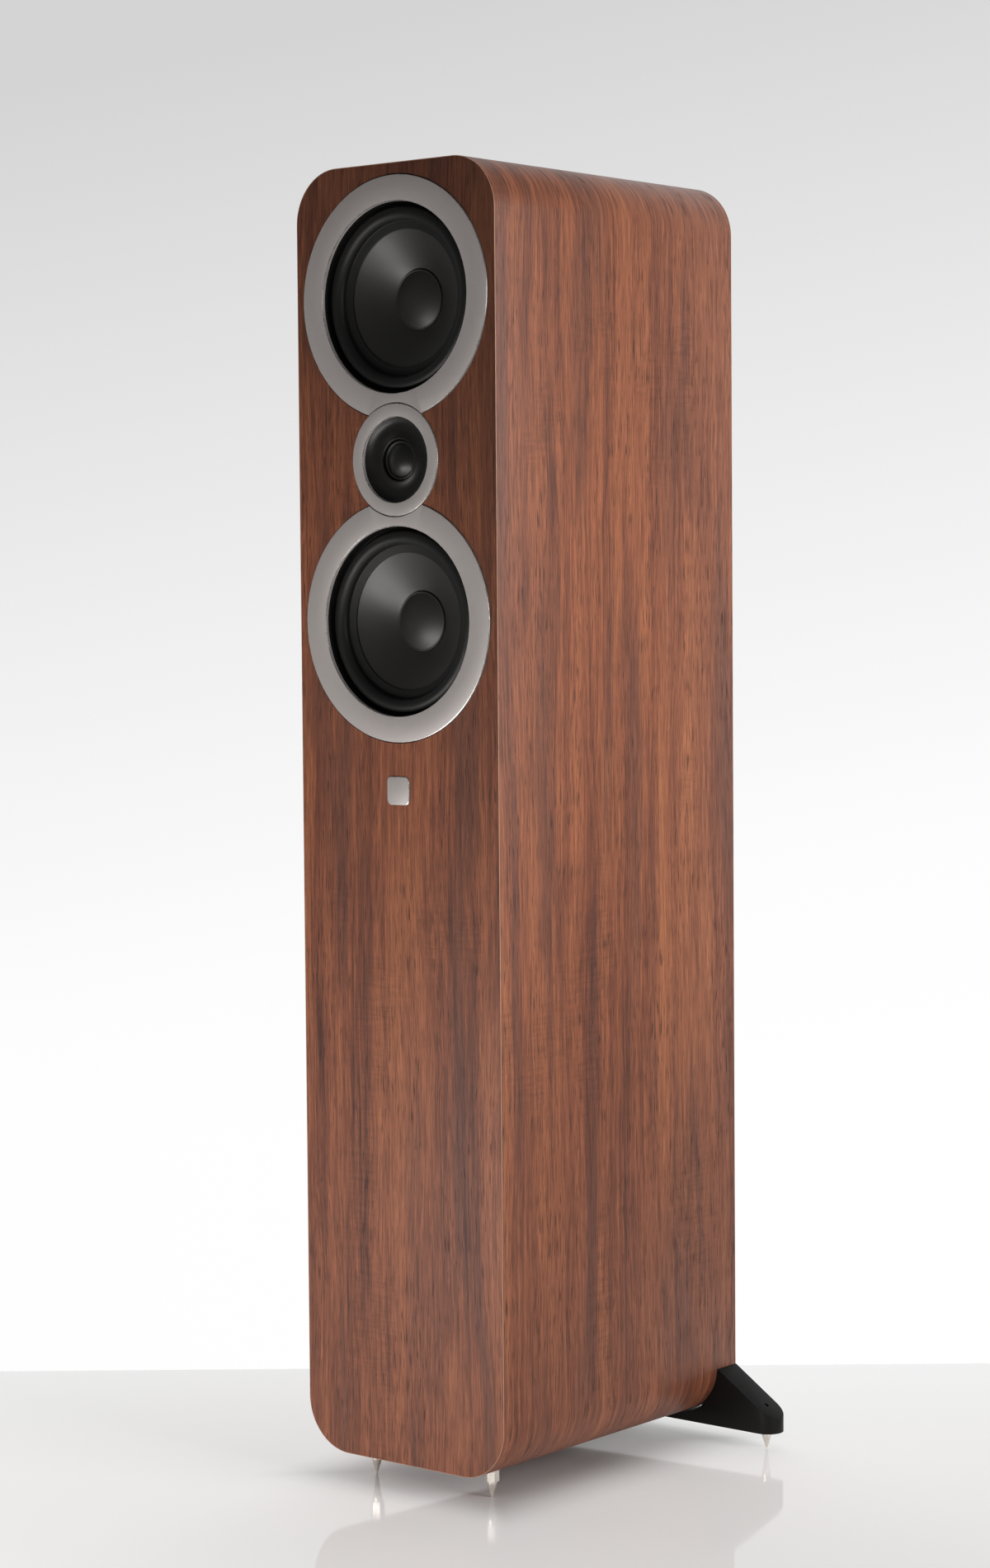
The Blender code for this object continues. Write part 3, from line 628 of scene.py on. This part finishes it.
def alongWrap(x, z, side):
    # how far round the cabinet a point is from the middle of its top, in metres
    radius = cabinet["corner"]
    flat = cabinetHigh.x - radius
    upper, lower = cabinetHigh.z - radius, cabinetLow.z + radius
    quarter = radius * math.pi / 2
    x = abs(x)
    if z >= upper:
        bend = math.atan2(x - flat, z - upper) if x > flat else 0
        return side * (min(x, flat) + radius * bend)
    if z >= lower:
        return side * (flat + quarter + upper - z)
    bend = math.atan2(lower - z, x - flat) if x > flat else math.pi / 2
    return side * (flat + quarter + upper - lower + radius * bend + flat - min(x, flat))


def mapWrap(mesh):
    # metres across the grain, which is the depth, and metres along it, which is round the cabinet
    layer = mesh.loops.layers.uv.new("grain")
    for face in mesh.faces:
        side = 1 if face.calc_center_median().x >= 0 else -1
        for loop in face.loops:
            point = loop.vert.co
            loop[layer].uv = (point.y, alongWrap(point.x, point.z, side))


def mapFlat(mesh, shift):
    # metres across the grain, which is the width, and metres along it, which is the height
    layer = mesh.loops.layers.uv.new("grain")
    for face in mesh.faces:
        for loop in face.loops:
            loop[layer].uv = (loop.vert.co.x + shift, loop.vert.co.z)


def makeWrap():
    mesh = roundedBox(cabinetLow, cabinetHigh, cabinet["corner"], segments=cabinet["cornerSteps"])
    ends = [f for f in mesh.faces if abs(f.normal.y) > 0.9]
    bmesh.ops.delete(mesh, geom=ends, context="FACES")
    # a seam down the middle, so that no face of the grain map runs both ways
    everything = mesh.verts[:] + mesh.edges[:] + mesh.faces[:]
    bmesh.ops.bisect_plane(mesh, geom=everything, plane_co=(0, 0, 0), plane_no=(1, 0, 0))
    bmesh.ops.solidify(mesh, geom=mesh.faces[:], thickness=cabinet["foil"])
    bmesh.ops.recalc_face_normals(mesh, faces=mesh.faces)
    softenEdges(mesh, cabinet["rim"], 2, sharper=60)
    mapWrap(mesh)

    def isRim(face):
        y = face.calc_center_median().y
        return y < front + cabinet["rim"] or y > rear - cabinet["rim"]

    # the rim bevels take the lighter edge colour, partly bare foil edge and partly painted highlight
    paintFaces(mesh, 1, isRim)
    finished("veneer_wrap", mesh, [walnut, foilEdgeAndHighlight], "cabinet", smooth=40)


woofers = {name: middle(f"{name}_woofer_magnet").z for name in ("upper", "lower")}
tweeter = middle("tweeter_magnet").z
baffle = {
    "woofer": (
        [(0, -8), (93.5, -8), (93.5, 2.2), (78.5, 2.2)]
        + [(78.5, 5.5), (75.8, 5.5), (75.8, 30), (0, 30)]
    ),
    "tweeter": (
        [(0, -8), (43.7, -8), (43.7, 2.2), (41.3, 2.2)]
        + [(41.3, 6.9), (33.3, 6.9), (33.3, 30), (0, 30)]
    ),
    "badgePocket": {"half": 11.3 * mm, "deep": 0.7 * mm, "clear": 5 * mm, "corner": 4.3 * mm},
    "grainShift": 2.3,
}


def panelInside(nearSide, farSide):
    # the cabinet's outline, drawn in to meet the foil
    inset = cabinet["foil"] + cabinet["seam"]
    low = Vector((cabinetLow.x + inset, nearSide, cabinetLow.z + inset))
    high = Vector((cabinetHigh.x - inset, farSide, cabinetHigh.z - inset))
    return roundedBox(low, high, cabinet["corner"] - inset, segments=cabinet["cornerSteps"])


def makeBaffle():
    low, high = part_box("front_baffle")
    mesh = panelInside(low.y, high.y)
    cutters = [turned(baffle["woofer"], fromFront(0, z), closed=False) for z in woofers.values()]
    cutters.append(turned(baffle["tweeter"], fromFront(0, tweeter), closed=False))
    pocket, spot = baffle["badgePocket"], middle("badge")
    half = pocket["half"]
    pocketLow = (-half, front - pocket["clear"], spot.z - half)
    pocketHigh = (half, front + pocket["deep"], spot.z + half)
    cutters.append(roundedBox(pocketLow, pocketHigh, pocket["corner"], segments=8))
    mesh = carved(mesh, cutters)
    mapFlat(mesh, shift=baffle["grainShift"])
    finished("front_baffle", mesh, [shadedFrontWalnut], "cabinet")


badge = {"corner": 4 * mm, "rim": 0.45 * mm}


def makeBadge():
    low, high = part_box("badge")
    mesh = roundedBox(low, high, badge["corner"], segments=10)
    deepest = low.y + 0.1 * mm
    softenEdges(
        mesh, badge["rim"], 2, sharper=60,
        where=lambda e: max(v.co.y for v in e.verts) < deepest,
    )

    def isRim(face):
        return face.calc_center_median().y < low.y + badge["rim"] and abs(face.normal.y) < 0.95

    paintFaces(mesh, 1, isRim)
    finished("badge", mesh, [satinSilver, polishedEdge], "cabinet")


makeWrap()
makeBaffle()
makeBadge()
print("cabinet front and wrap made")


rings = {
    "woofer": {"inner": 72.8, "outer": 92.7, "bite": 43.8},
    "tweeter": {"inner": 32.7, "outer": 43.0},
    "proud": 0.8, "back": 1.9, "innerEdge": 0.40, "outerEdge": 0.35,
}


def ringMesh(ring, z):
    profile = [
        (ring["inner"], -rings["proud"], rings["innerEdge"]),
        (ring["outer"], -rings["proud"], rings["outerEdge"]),
        (ring["outer"], rings["back"]),
        (ring["inner"], rings["back"]),
    ]
    return turned(profile, fromFront(0, z), sides=180, roundSteps=2)


def polishRims(mesh):
    deepest = front - rings["proud"] * mm + 0.5 * mm

    def isRim(face):
        return face.calc_center_median().y < deepest and 0.1 < abs(face.normal.y) < 0.98

    paintFaces(mesh, 1, isRim)


def makeRings():
    for name, z in woofers.items():
        bite = [(0, -8), (rings["woofer"]["bite"], -8), (rings["woofer"]["bite"], 8), (0, 8)]
        mesh = ringMesh(rings["woofer"], z)
        mesh = carved(mesh, [turned(bite, fromFront(0, tweeter), closed=False)])
        polishRims(mesh)
        finished(f"{name}_woofer_trim_ring", mesh, [satinSilver, polishedEdge], "cabinet")
    mesh = ringMesh(rings["tweeter"], tweeter)
    polishRims(mesh)
    finished("tweeter_trim_ring", mesh, [satinSilver, polishedEdge], "cabinet")


# profiles of (radius, depth, rounding) in millimetres behind the baffle's face
woofer = {
    "basket": (
        [(78.2, 2.2, 0.4), (78.2, 5.2, 0.4), (75.4, 5.2), (75.4, 11.8, 0.8)]
        + [(50, 47, 2), (50, 50.7, 0.5), (17.4, 50.7), (17.4, 47.7)]
        + [(44, 47.7, 1), (44, 38, 0.8), (53.6, 38, 0.8)]
        + [(70.4, 14.2), (68.4, 12.6), (68.4, 10.3, 0.4), (72.6, 10.3, 0.4), (72.6, 2.2, 0.3)]
    ),
    "window": {"low": (-100, 15, -21), "high": (100, 34, 21), "corner": 5},
    "surround": (
        [(71.8, 10.0), (71.8, 9.3, 0.2), (71.0, 9.4, 0.2), ("turn", 65.1, 10.0, -168)]
        + [(59.0, 11.2, 0.5), (52.8, 12.55, 0.2), (52.8, 13.2), (59.6, 11.9)]
        + [(59.9, 10.0), ("turn", 65.1, 10.0, 180)]
    ),
    "cone": (
        [(58.9, 12.2), (52.8, 13.5, 1.0), (16.8, 33.8)]
        + [(16.8, 34.9), (52.8, 14.6, 1.0), (58.9, 13.1)]
    ),
    "cap": {
        "radius": 21.9, "rim": 28.9, "rise": 5.6, "thick": 0.6, "inside": 0.4,
        "lip": [(22.3, 28.5, 0.2), (23.1, 28.7, 0.3), (23.2, 30.2), (21.6, 30.2)],
    },
    "voiceCoil": (
        [(16.1, 31.5), (16.1, 50), (16.7, 50, 0.1), (16.7, 57, 0.1)]
        + [(16.1, 57), (16.1, 59), (15.6, 59), (15.6, 31.5)]
    ),
    "top_plate": [(17.2, 51, 0.3), (45, 51, 0.6), (45, 57, 0.3), (17.2, 57, 0.3)],
    "magnet": [(22, 57.3, 0.6), (45, 57.3, 1.2), (45, 74.3, 1.2), (22, 74.3, 0.6)],
    "yoke": (
        [(15, 51, 0.4), (15, 74.6), (43, 74.6, 0.6)]
        + [(43, 80.6, 1.0), (4.5, 80.6, 0.6), (4.5, 51, 0.4)]
    ),
    "spider": {
        "inner": 16.5, "outer": 52, "depth": 37.1, "thick": 0.6,
        "waves": 6, "height": 1.5, "wavesFrom": 0.12, "wavesSpan": 0.62, "round": 0.6,
    },
    "surroundStretch": (71.0, 59.2), "spiderStretch": (47, 20),
}


def domeRun(radius, rimDepth, rise, turnBack=False):
    # the arc of a dome, from its middle out to its rim, or back
    sphere = (radius**2 + rise**2) / (2 * rise)
    sweep = math.degrees(math.asin(radius / sphere))
    centre = rimDepth - rise + sphere
    if turnBack:
        return [(radius, rimDepth), ("turn", 0, centre, -sweep)]
    return [(0, rimDepth - rise), ("turn", 0, centre, sweep)]


def domedProfile(cap):
    # a dome with its lip or fold, and the same dome inside it
    outside = domeRun(cap["radius"], cap["rim"], cap["rise"])
    reach, rim = cap["radius"] - cap["inside"], cap["rim"] + cap["thick"]
    return outside + cap["lip"] + domeRun(reach, rim, cap["rise"], turnBack=True)


def spiderProfile(cloth):
    inner, outer, depth, height = cloth["inner"], cloth["outer"], cloth["depth"], cloth["height"]
    span = (outer - inner) * cloth["wavesSpan"]
    start = inner + (outer - inner) * cloth["wavesFrom"]
    face = [(inner, depth)]
    count = 2 * cloth["waves"]
    for step in range(count + 1):
        lift = 0 if step in (0, count) else height * (-1 if step % 2 else 1)
        face.append((start + span * step / count, depth + lift, span / count * cloth["round"]))
    face.append((outer, depth))
    back = [(r, d + cloth["thick"], *more) for r, d, *more in reversed(face)]
    return face + back


def blendRolled(piece, body, z, stretch):
    # a ring that stretches from its outer radius, on the cabinet, to its inner one, on the body
    outer, inner = stretch
    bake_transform(piece, "cabinet", body, start=(0, front, z), end=(0, front + 0.01, z))
    share = piece.data.attributes["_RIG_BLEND"].data
    for vertex in piece.data.vertices:
        radius = math.hypot(vertex.co.x, vertex.co.z - z) / mm
        share[vertex.index].value = min(1, max(0, (outer - radius) / (outer - inner)))


def makeWoofer(name, z):
    label, cone, at = f"{name}_woofer", f"{name}_cone", fromFront(0, z)
    windows = []
    hole = woofer["window"]
    for step in range(3):
        cutter = roundedBox(hole["low"], hole["high"], hole["corner"], axis=0, segments=6)
        spun = at @ Matrix.Rotation(math.radians(30 + 60 * step), 4, "Y")
        bmesh.ops.transform(cutter, matrix=spun, verts=cutter.verts)
        windows.append(cutter)
    basket = carved(turned(woofer["basket"], at), windows)
    finished(f"{label}_basket", basket, [blackCasting], "cabinet")
    surround = turned(woofer["surround"], at, sides=160)
    surround = finished(f"{label}_surround", surround, [blackRubber], None, smooth=50)
    blendRolled(surround, cone, z, woofer["surroundStretch"])
    spider = turned(spiderProfile(woofer["spider"]), at, sides=96, roundSteps=3)
    spider = finished(f"{label}_spider", spider, [spiderCloth], None, smooth=50)
    blendRolled(spider, cone, z, woofer["spiderStretch"])
    finished(f"{label}_cone", turned(woofer["cone"], at, sides=160), [conePaper], cone)
    cap = turned(domedProfile(woofer["cap"]), at, closed=False)
    finished(f"{label}_dust_cap", cap, [conePaper], cone)
    coil = turned(woofer["voiceCoil"], at, sides=96)
    finished(f"{label}_voice_coil", coil, [copperWinding], cone)
    for part, finish in (("top_plate", platedSteel), ("magnet", ferrite), ("yoke", platedSteel)):
        finished(f"{label}_{part}", turned(woofer[part], at, sides=96), [finish], "cabinet")


tweeterParts = {
    "faceplate": (
        [(41, 2.2, 0.2), (41, 5), (32.9, 5), (32.9, 9), (15.9, 9)]
        + [(15.9, 4.2, 0.3), (16.5, 3.5, 0.4)]
        + [(17.8, 3.8, 1.0), (20.5, 5.0, 2.0), (24.5, 5.3, 2.5), (29.5, 4.5, 2.0), (32.4, 2.2, 0.2)]
    ),
    "gasket": [(33.6, 5.3, 0.3), (41, 5.3, 0.3), (41, 6.6, 0.3), (33.6, 6.6, 0.3)],
    "voice_coil": [(12.3, 7.4), (12.8, 7.4), (12.8, 14), (12.3, 14)],
    "yoke": [(0, 21), (13.4, 21), (13.4, 9.3, 0.3), (20, 9.3, 0.5), (20, 25, 0.8), (0, 25)],
    "magnet": [(0, 9.6), (11.6, 9.6, 0.4), (11.6, 20.7, 0.4), (0, 20.7)],
    "rear_cup": [(0, 33), (28, 33, 1.5), (28, 9.3), (30, 9.3), (30, 35, 2.0), (0, 35)],
    "dome": {
        "radius": 12.9, "rim": 6.6, "rise": 5.0, "thick": 0.4, "inside": 0.1,
        "lip": [(13.0, 6.5), ("turn", 14.2, 6.6, 160), (15.7, 6.6), (15.7, 6.9), (13.0, 7.0)],
    },
    "domeStretch": (15.4, 13.0),
}


def makeTweeter():
    at = fromFront(0, tweeter)
    finishesOf = {
        "faceplate": blackPlastic, "gasket": blackRubber, "voice_coil": copperWinding,
        "magnet": ferrite, "yoke": platedSteel, "rear_cup": blackPlastic,
    }
    for part, finish in finishesOf.items():
        body = "tweeter_diaphragm" if part == "voice_coil" else "cabinet"
        onAxis = tweeterParts[part][0][0] == 0
        mesh = turned(tweeterParts[part], at, closed=not onAxis, sides=96)
        finished(f"tweeter_{part}", mesh, [finish], body)
    mesh = turned(domedProfile(tweeterParts["dome"]), at, closed=False, sides=96)
    dome = finished("tweeter_dome", mesh, [domeSilk], None, smooth=50)
    blendRolled(dome, "tweeter_diaphragm", tweeter, tweeterParts["domeStretch"])


makeRings()
for name, z in woofers.items():
    makeWoofer(name, z)
makeTweeter()
print("drivers made")


terminal = {
    "half": (36, 46), "corner": 6, "lip": 9, "lipCorner": 10.5, "lipThick": 3, "clear": 0.3,
    "wall": 3, "wallFrom": 1, "wallCorner": 7.5, "wallDepth": 29, "depth": 26, "softEdge": 0.45,
    "spot": middle("terminal_cup").z, "posts": {"red": 15, "black": -15}, "screws": (39.3, 49.3),
    "holeGrow": 0.15, "beyond": 5, "holeDepth": 40,
}
rearParts = {
    "portHole": [(0, -8), (45.3, -8), (45.3, 3.3), (38.8, 3.3), (38.8, 30), (0, 30)],
    "postHole": [(0, -5), (3.3, -5), (3.3, 60), (0, 60)],
    "port": (
        [(45, 0.1, 0.3), (45, 3), (38.4, 3), (38.4, 14), (35.5, 18)]
        + [(35.5, 140), (33, 140, 0.6), (33, 18, 5)]
        + [(34.1, 9.5, 4), (36.8, 4.2, 3), (40.6, 1.2, 2.5), (43.6, 0.1, 0.5)]
    ),
    "stud": (
        [(0, 19), (2.05, 18), (2.05, 4.8, 0.2), (3, 4.8, 0.2), (3, 19.4)]
        + [(7, 19.4, 0.4), (7, 25.7, 0.2), (3, 25.7), (3, 38, 0.5), (0, 38)]
    ),
    "washer": [(3.4, 17.6, 0.2), (7, 17.6, 0.3), (7, 19.1, 0.3), (3.4, 19.1, 0.2)],
    "knob": (
        [(5.4, 3, 0.4), (6.8, 4, 0.4), (6.8, 14, 0.5), (6, 15, 0.3)]
        + [(6, 17.3, 0.2), (3.4, 17.3), (3.4, 3, 0.3)]
    ),
    "flutes": {"count": 14, "reach": 7.25, "radius": 0.85, "from": 2, "to": 13.4},
    "sink": [(0, -1), (2.8, -1), (2.8, 0.35), (1.6, 1.6), (1.6, 2.9), (1.3, 2.95), (0, 2.95)],
    "screw": [(0, 0.12), (2.0, 0.2, 0.3), (2.6, 0.45, 0.15), (1.4, 1.6), (1.4, 2.8), (0, 2.8)],
    "cross": [(-1.35, -0.26), (-0.26, -1.35)], "crossDepth": 1.1,
}


def cupBlock(grow, near, far, corner):
    # a block of the terminal cup's outline, between two depths from the rear face
    across, up = (half + grow for half in terminal["half"])
    low = (-across * mm, rear - far * mm, terminal["spot"] - up * mm)
    high = (across * mm, rear - near * mm, terminal["spot"] + up * mm)
    return roundedBox(low, high, corner * mm, segments=10)


def makeRearPanel():
    low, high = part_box("rear_panel")
    clear, grow, beyond = terminal["clear"], terminal["holeGrow"], terminal["beyond"]
    lipFit, wallFit = terminal["lip"] + clear, terminal["wall"] + clear
    cutters = [
        turned(rearParts["portHole"], fromRear(0, tweeter), closed=False),
        cupBlock(lipFit, -beyond, terminal["lipThick"] + clear, terminal["lipCorner"] + grow),
        cupBlock(wallFit, -beyond, terminal["holeDepth"], terminal["wallCorner"] + grow),
    ]
    mesh = carved(panelInside(low.y, high.y), cutters)
    finished("rear_panel", mesh, [rearFoil], "cabinet")
    port = turned(rearParts["port"], fromRear(0, tweeter), sides=144)
    finished("reflex_port", port, [blackPlastic], "cabinet", smooth=50)


def makeScrew(label, x, z):
    mesh = turned(rearParts["screw"], fromRear(x, z), closed=False, sides=40, roundSteps=2)
    slots = []
    for across, up in rearParts["cross"]:
        low = (x + across * mm, rear - rearParts["crossDepth"] * mm, z + up * mm)
        high = (x - across * mm, rear + mm, z - up * mm)
        slots.append(roundedBox(low, high, 0))
    finished(f"cup_screw_{label}", carved(mesh, slots), [platedSteel], "cabinet")


def makeTerminals():
    lip = cupBlock(terminal["lip"], 0, terminal["lipThick"], terminal["lipCorner"])
    walls = cupBlock(
        terminal["wall"], terminal["wallFrom"], terminal["wallDepth"], terminal["wallCorner"],
    )
    recess = cupBlock(0, -terminal["beyond"], terminal["depth"], terminal["corner"])
    cup = carved(carved(lip, [walls], "UNION"), [recess])
    outermost = rear - 0.1 * mm
    softenEdges(
        cup, terminal["softEdge"] * mm, 2, sharper=60,
        where=lambda e: min(v.co.y for v in e.verts) > outermost,
    )
    spot, (out, up) = terminal["spot"], terminal["screws"]
    cutters = [
        turned(rearParts["postHole"], fromRear(x * mm, spot), closed=False, sides=48)
        for x in terminal["posts"].values()
    ]
    places = [(x * mm, spot + z * mm) for x in (-out, out) for z in (-up, up)]
    cutters += [turned(rearParts["sink"], fromRear(*at), closed=False, sides=48) for at in places]
    finished("terminal_cup", carved(cup, cutters), [blackPlastic], "cabinet")
    for number, at in enumerate(places):
        makeScrew(number + 1, *at)
    for label, x in terminal["posts"].items():
        at = fromRear(x * mm, spot)
        stud = turned(rearParts["stud"], at, closed=False, sides=72, roundSteps=2)
        finished(f"{label}_post_stud", stud, [goldPlate], "cabinet")
        washer = turned(rearParts["washer"], at, sides=72, roundSteps=2)
        finished(f"{label}_post_washer", washer, [goldPlate], f"{label}_knob")
        knob = carved(turned(rearParts["knob"], at, sides=112, roundSteps=2), [flutes(at)])
        finish = redPlastic if label == "red" else blackPlastic
        finished(f"{label}_post_knob", knob, [finish], f"{label}_knob")


def flutes(at):
    # thin rods round a binding post's knob, to cut its grip
    cut = rearParts["flutes"]
    mesh = bmesh.new()
    length = cut["to"] - cut["from"]
    for step in range(cut["count"]):
        spun = Matrix.Rotation(math.tau * step / cut["count"], 4, "Y")
        out = Matrix.Translation((cut["reach"], cut["from"] + length / 2, 0))
        rod = spun @ out @ Matrix.Rotation(math.pi / 2, 4, "X")
        bmesh.ops.create_cone(
            mesh, cap_ends=True, segments=16, radius1=cut["radius"], radius2=cut["radius"],
            depth=length, matrix=at @ rod,
        )
    return mesh


makeRearPanel()
makeTerminals()
print("rear made")

foot = {
    "reach": 154 * mm, "thick": 26 * mm, "under": 14 * mm, "tip": 26 * mm, "shoulder": 61.5 * mm,
    "shoulderOut": 100.36 * mm, "barTop": 20.5 * mm, "end": 12.9 * mm,
    "cradle": 100.4 * mm, "bend": 41.4 * mm, "bendHeight": 63.5 * mm, "softEdge": 0.6 * mm,
    "bore": [(0, 0), (1.75, 0), (1.75, 50), (4.2, 50), (4.2, 80), (0, 80)],
    "boreOut": 140 * mm, "boreTop": 79 * mm,
    "front": (
        [(0, 0), (3.9, 0), (3.9, 17.2), (4.9, 17.6, 0.2)]
        + [(4.9, 27.2, 0.2), (3.9, 27.4), (3.9, 29.0, 0.4), (0.8, 39.5, 0.3), (0, 39.7)]
    ),
    "rear": [(0, 0), (3.9, 0, 0.4), (3.9, 17.6, 0.4), (0.8, 27.8, 0.3), (0, 28)],
    "collar": {"across": 11.4, "near": 17.5, "far": 27.3, "chamfer": 0.7, "ease": 0.245},
}


def sliced(mesh, point, normal):
    # the mesh without what lies beyond a plane, closed again
    everything = mesh.verts[:] + mesh.edges[:] + mesh.faces[:]
    cut = bmesh.ops.bisect_plane(
        mesh, geom=everything, plane_co=point, plane_no=normal, clear_outer=True,
    )
    edges = [e for e in cut["geom_cut"] if isinstance(e, bmesh.types.BMEdge)]
    bmesh.ops.edgenet_fill(mesh, edges=edges)
    bmesh.ops.recalc_face_normals(mesh, faces=mesh.faces)
    return mesh


def makeStabiliser():
    near = rear - foot["thick"]
    block = roundedBox(
        (-foot["reach"], near, foot["under"]), (foot["reach"], rear, foot["shoulder"]),
        foot["end"], axis=2, segments=16,
    )
    slope = math.atan2(foot["shoulder"] - foot["tip"], foot["reach"] - foot["shoulderOut"])
    for side in (-1, 1):
        tipPoint = (side * foot["reach"], rear, foot["tip"])
        sliced(block, tipPoint, (side * math.sin(slope), 0, math.cos(slope)))
    half, bend = foot["cradle"], foot["bend"]
    # the cabinet's lower corners, squashed so that they end at the bar's top
    hollow = roundedBox(
        (-half, near - 5 * mm, foot["bendHeight"] - bend), (half, rear + 5 * mm, 0.3),
        bend, segments=32,
    )
    squash = (foot["bendHeight"] - foot["barTop"]) / bend
    middleOut = Matrix.Translation((0, 0, -foot["bendHeight"]))
    bmesh.ops.scale(hollow, vec=(1, 1, squash), space=middleOut, verts=hollow.verts)
    block = carved(block, [hollow])
    softenEdges(block, foot["softEdge"], 3, sharper=50)
    bores = []
    for side in (-1, 1):
        at = fromAbove(side * foot["boreOut"], rear - foot["thick"] / 2, foot["boreTop"])
        bores.append(turned(foot["bore"], at, closed=False, sides=48))
    finished("rear_stabiliser", carved(block, bores), [blackCasting], "cabinet", smooth=40)


def makeSpikes():
    for end in ("front", "rear"):
        for side in ("left", "right"):
            node = f"{end}_{side}_spike"
            low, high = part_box(node)
            centre = (low + high) / 2
            at = fromAbove(centre.x, centre.y, high.z)
            mesh = turned(foot[end], at, closed=False, sides=64, roundSteps=3)
            if end == "front":
                makeCollar(node, at)
            finished(node, mesh, [brightSteel], f"{end}_{side}_foot")


def makeCollar(node, at):
    # the hexagon that a spanner turns, round the front spike's shank
    nut = foot["collar"]
    mesh = bmesh.new()
    radius, near, far = nut["across"] / 2, nut["near"], nut["far"]
    centre = Matrix.Translation((0, (near + far) / 2, 0))
    bmesh.ops.create_cone(
        mesh, cap_ends=True, segments=6, radius1=radius, radius2=radius,
        depth=far - near, matrix=at @ centre @ Matrix.Rotation(math.pi / 2, 4, "X"),
    )
    # the cone at each end that takes off the six corners
    rim, beyond = radius - nut["ease"] - nut["chamfer"], radius + 1
    bevelled = [(0, near - 1), (rim, near - 0.01), (beyond, near + 1)]
    bevelled += [(beyond, far - 1), (rim, far + 0.01), (0, far + 1)]
    mesh = carved(mesh, [turned(bevelled, at, closed=False, sides=64)], "INTERSECT")
    body = node.replace("spike", "foot")
    finished(f"{node}_collar", mesh, [brightSteel], body, smooth=25)


makeStabiliser()
makeSpikes()
print("feet made")

inside = {
    "fibreboard": [
        "left_side_panel", "right_side_panel", "top_panel", "bottom_panel",
        "upper_brace", "lower_brace",
    ],
    "leads": ["upper_woofer_lead", "lower_woofer_lead", "tweeter_lead", "input_lead"],
    "inductors": {"bass_inductor": (9, 27), "treble_inductor": (6, 15)},
    "wire": {"pitch": 1.6, "inset": 0.5, "rise": 0.45},
}


def dressInside():
    # the pieces inside the cabinet keep their CAD shape and take a finish
    finishOf = {node: fibreboard for node in inside["fibreboard"]}
    finishOf.update({node: blackRubber for node in inside["leads"]})
    finishOf["crossover_board"] = circuitBoard
    finishOf["bass_capacitor"] = blackPlastic
    for node, finish in finishOf.items():
        kept = bpy.data.objects[node]
        kept.data.materials.clear()
        kept.data.materials.append(finish.material)


def makeInductors():
    wire = inside["wire"]
    for node, (inner, outer) in inside["inductors"].items():
        low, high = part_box(node)
        centre = (low + high) / 2
        height = (high.z - low.z) / mm
        steps = 2 * max(6, round(height / wire["pitch"]))
        wall = [
            (outer - wire["inset"] + wire["rise"] * (step % 2), height * step / steps)
            for step in range(steps + 1)
        ]
        profile = [(inner, 0), *wall, (inner, height)]
        mesh = turned(profile, fromAbove(centre.x, centre.y, high.z), sides=96)
        finished(node, mesh, [copperWinding], "cabinet", smooth=60)


fleece = {
    "round": 14 * mm, "cuts": 26, "longEdge": 30 * mm, "depth": 2.6 * mm, "lift": 0.7,
    "lumps": 60, "finer": 3.1, "finerShare": 0.4,
}


def makeWadding():
    # a soft block of fleece behind the lower bass driver
    low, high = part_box("acoustic_wadding")
    margin = Vector((1, 1, 1)) * fleece["depth"]
    mesh = roundedBox(low + margin, high - margin, 0)
    softenEdges(mesh, fleece["round"], 5, sharper=60)
    longEdges = [e for e in mesh.edges if e.calc_length() > fleece["longEdge"]]
    bmesh.ops.subdivide_edges(mesh, edges=longEdges, cuts=fleece["cuts"], use_grid_fill=True)
    for vertex in mesh.verts:
        place = vertex.co * fleece["lumps"]
        lump = noise.noise(place) + fleece["finerShare"] * noise.noise(place * fleece["finer"])
        vertex.co += vertex.normal * lump * fleece["depth"] * fleece["lift"]
    piece = finished("acoustic_wadding", mesh, [waddingFleece], "cabinet", smooth=180)


dressInside()
makeInductors()
makeWadding()
print("inside made")
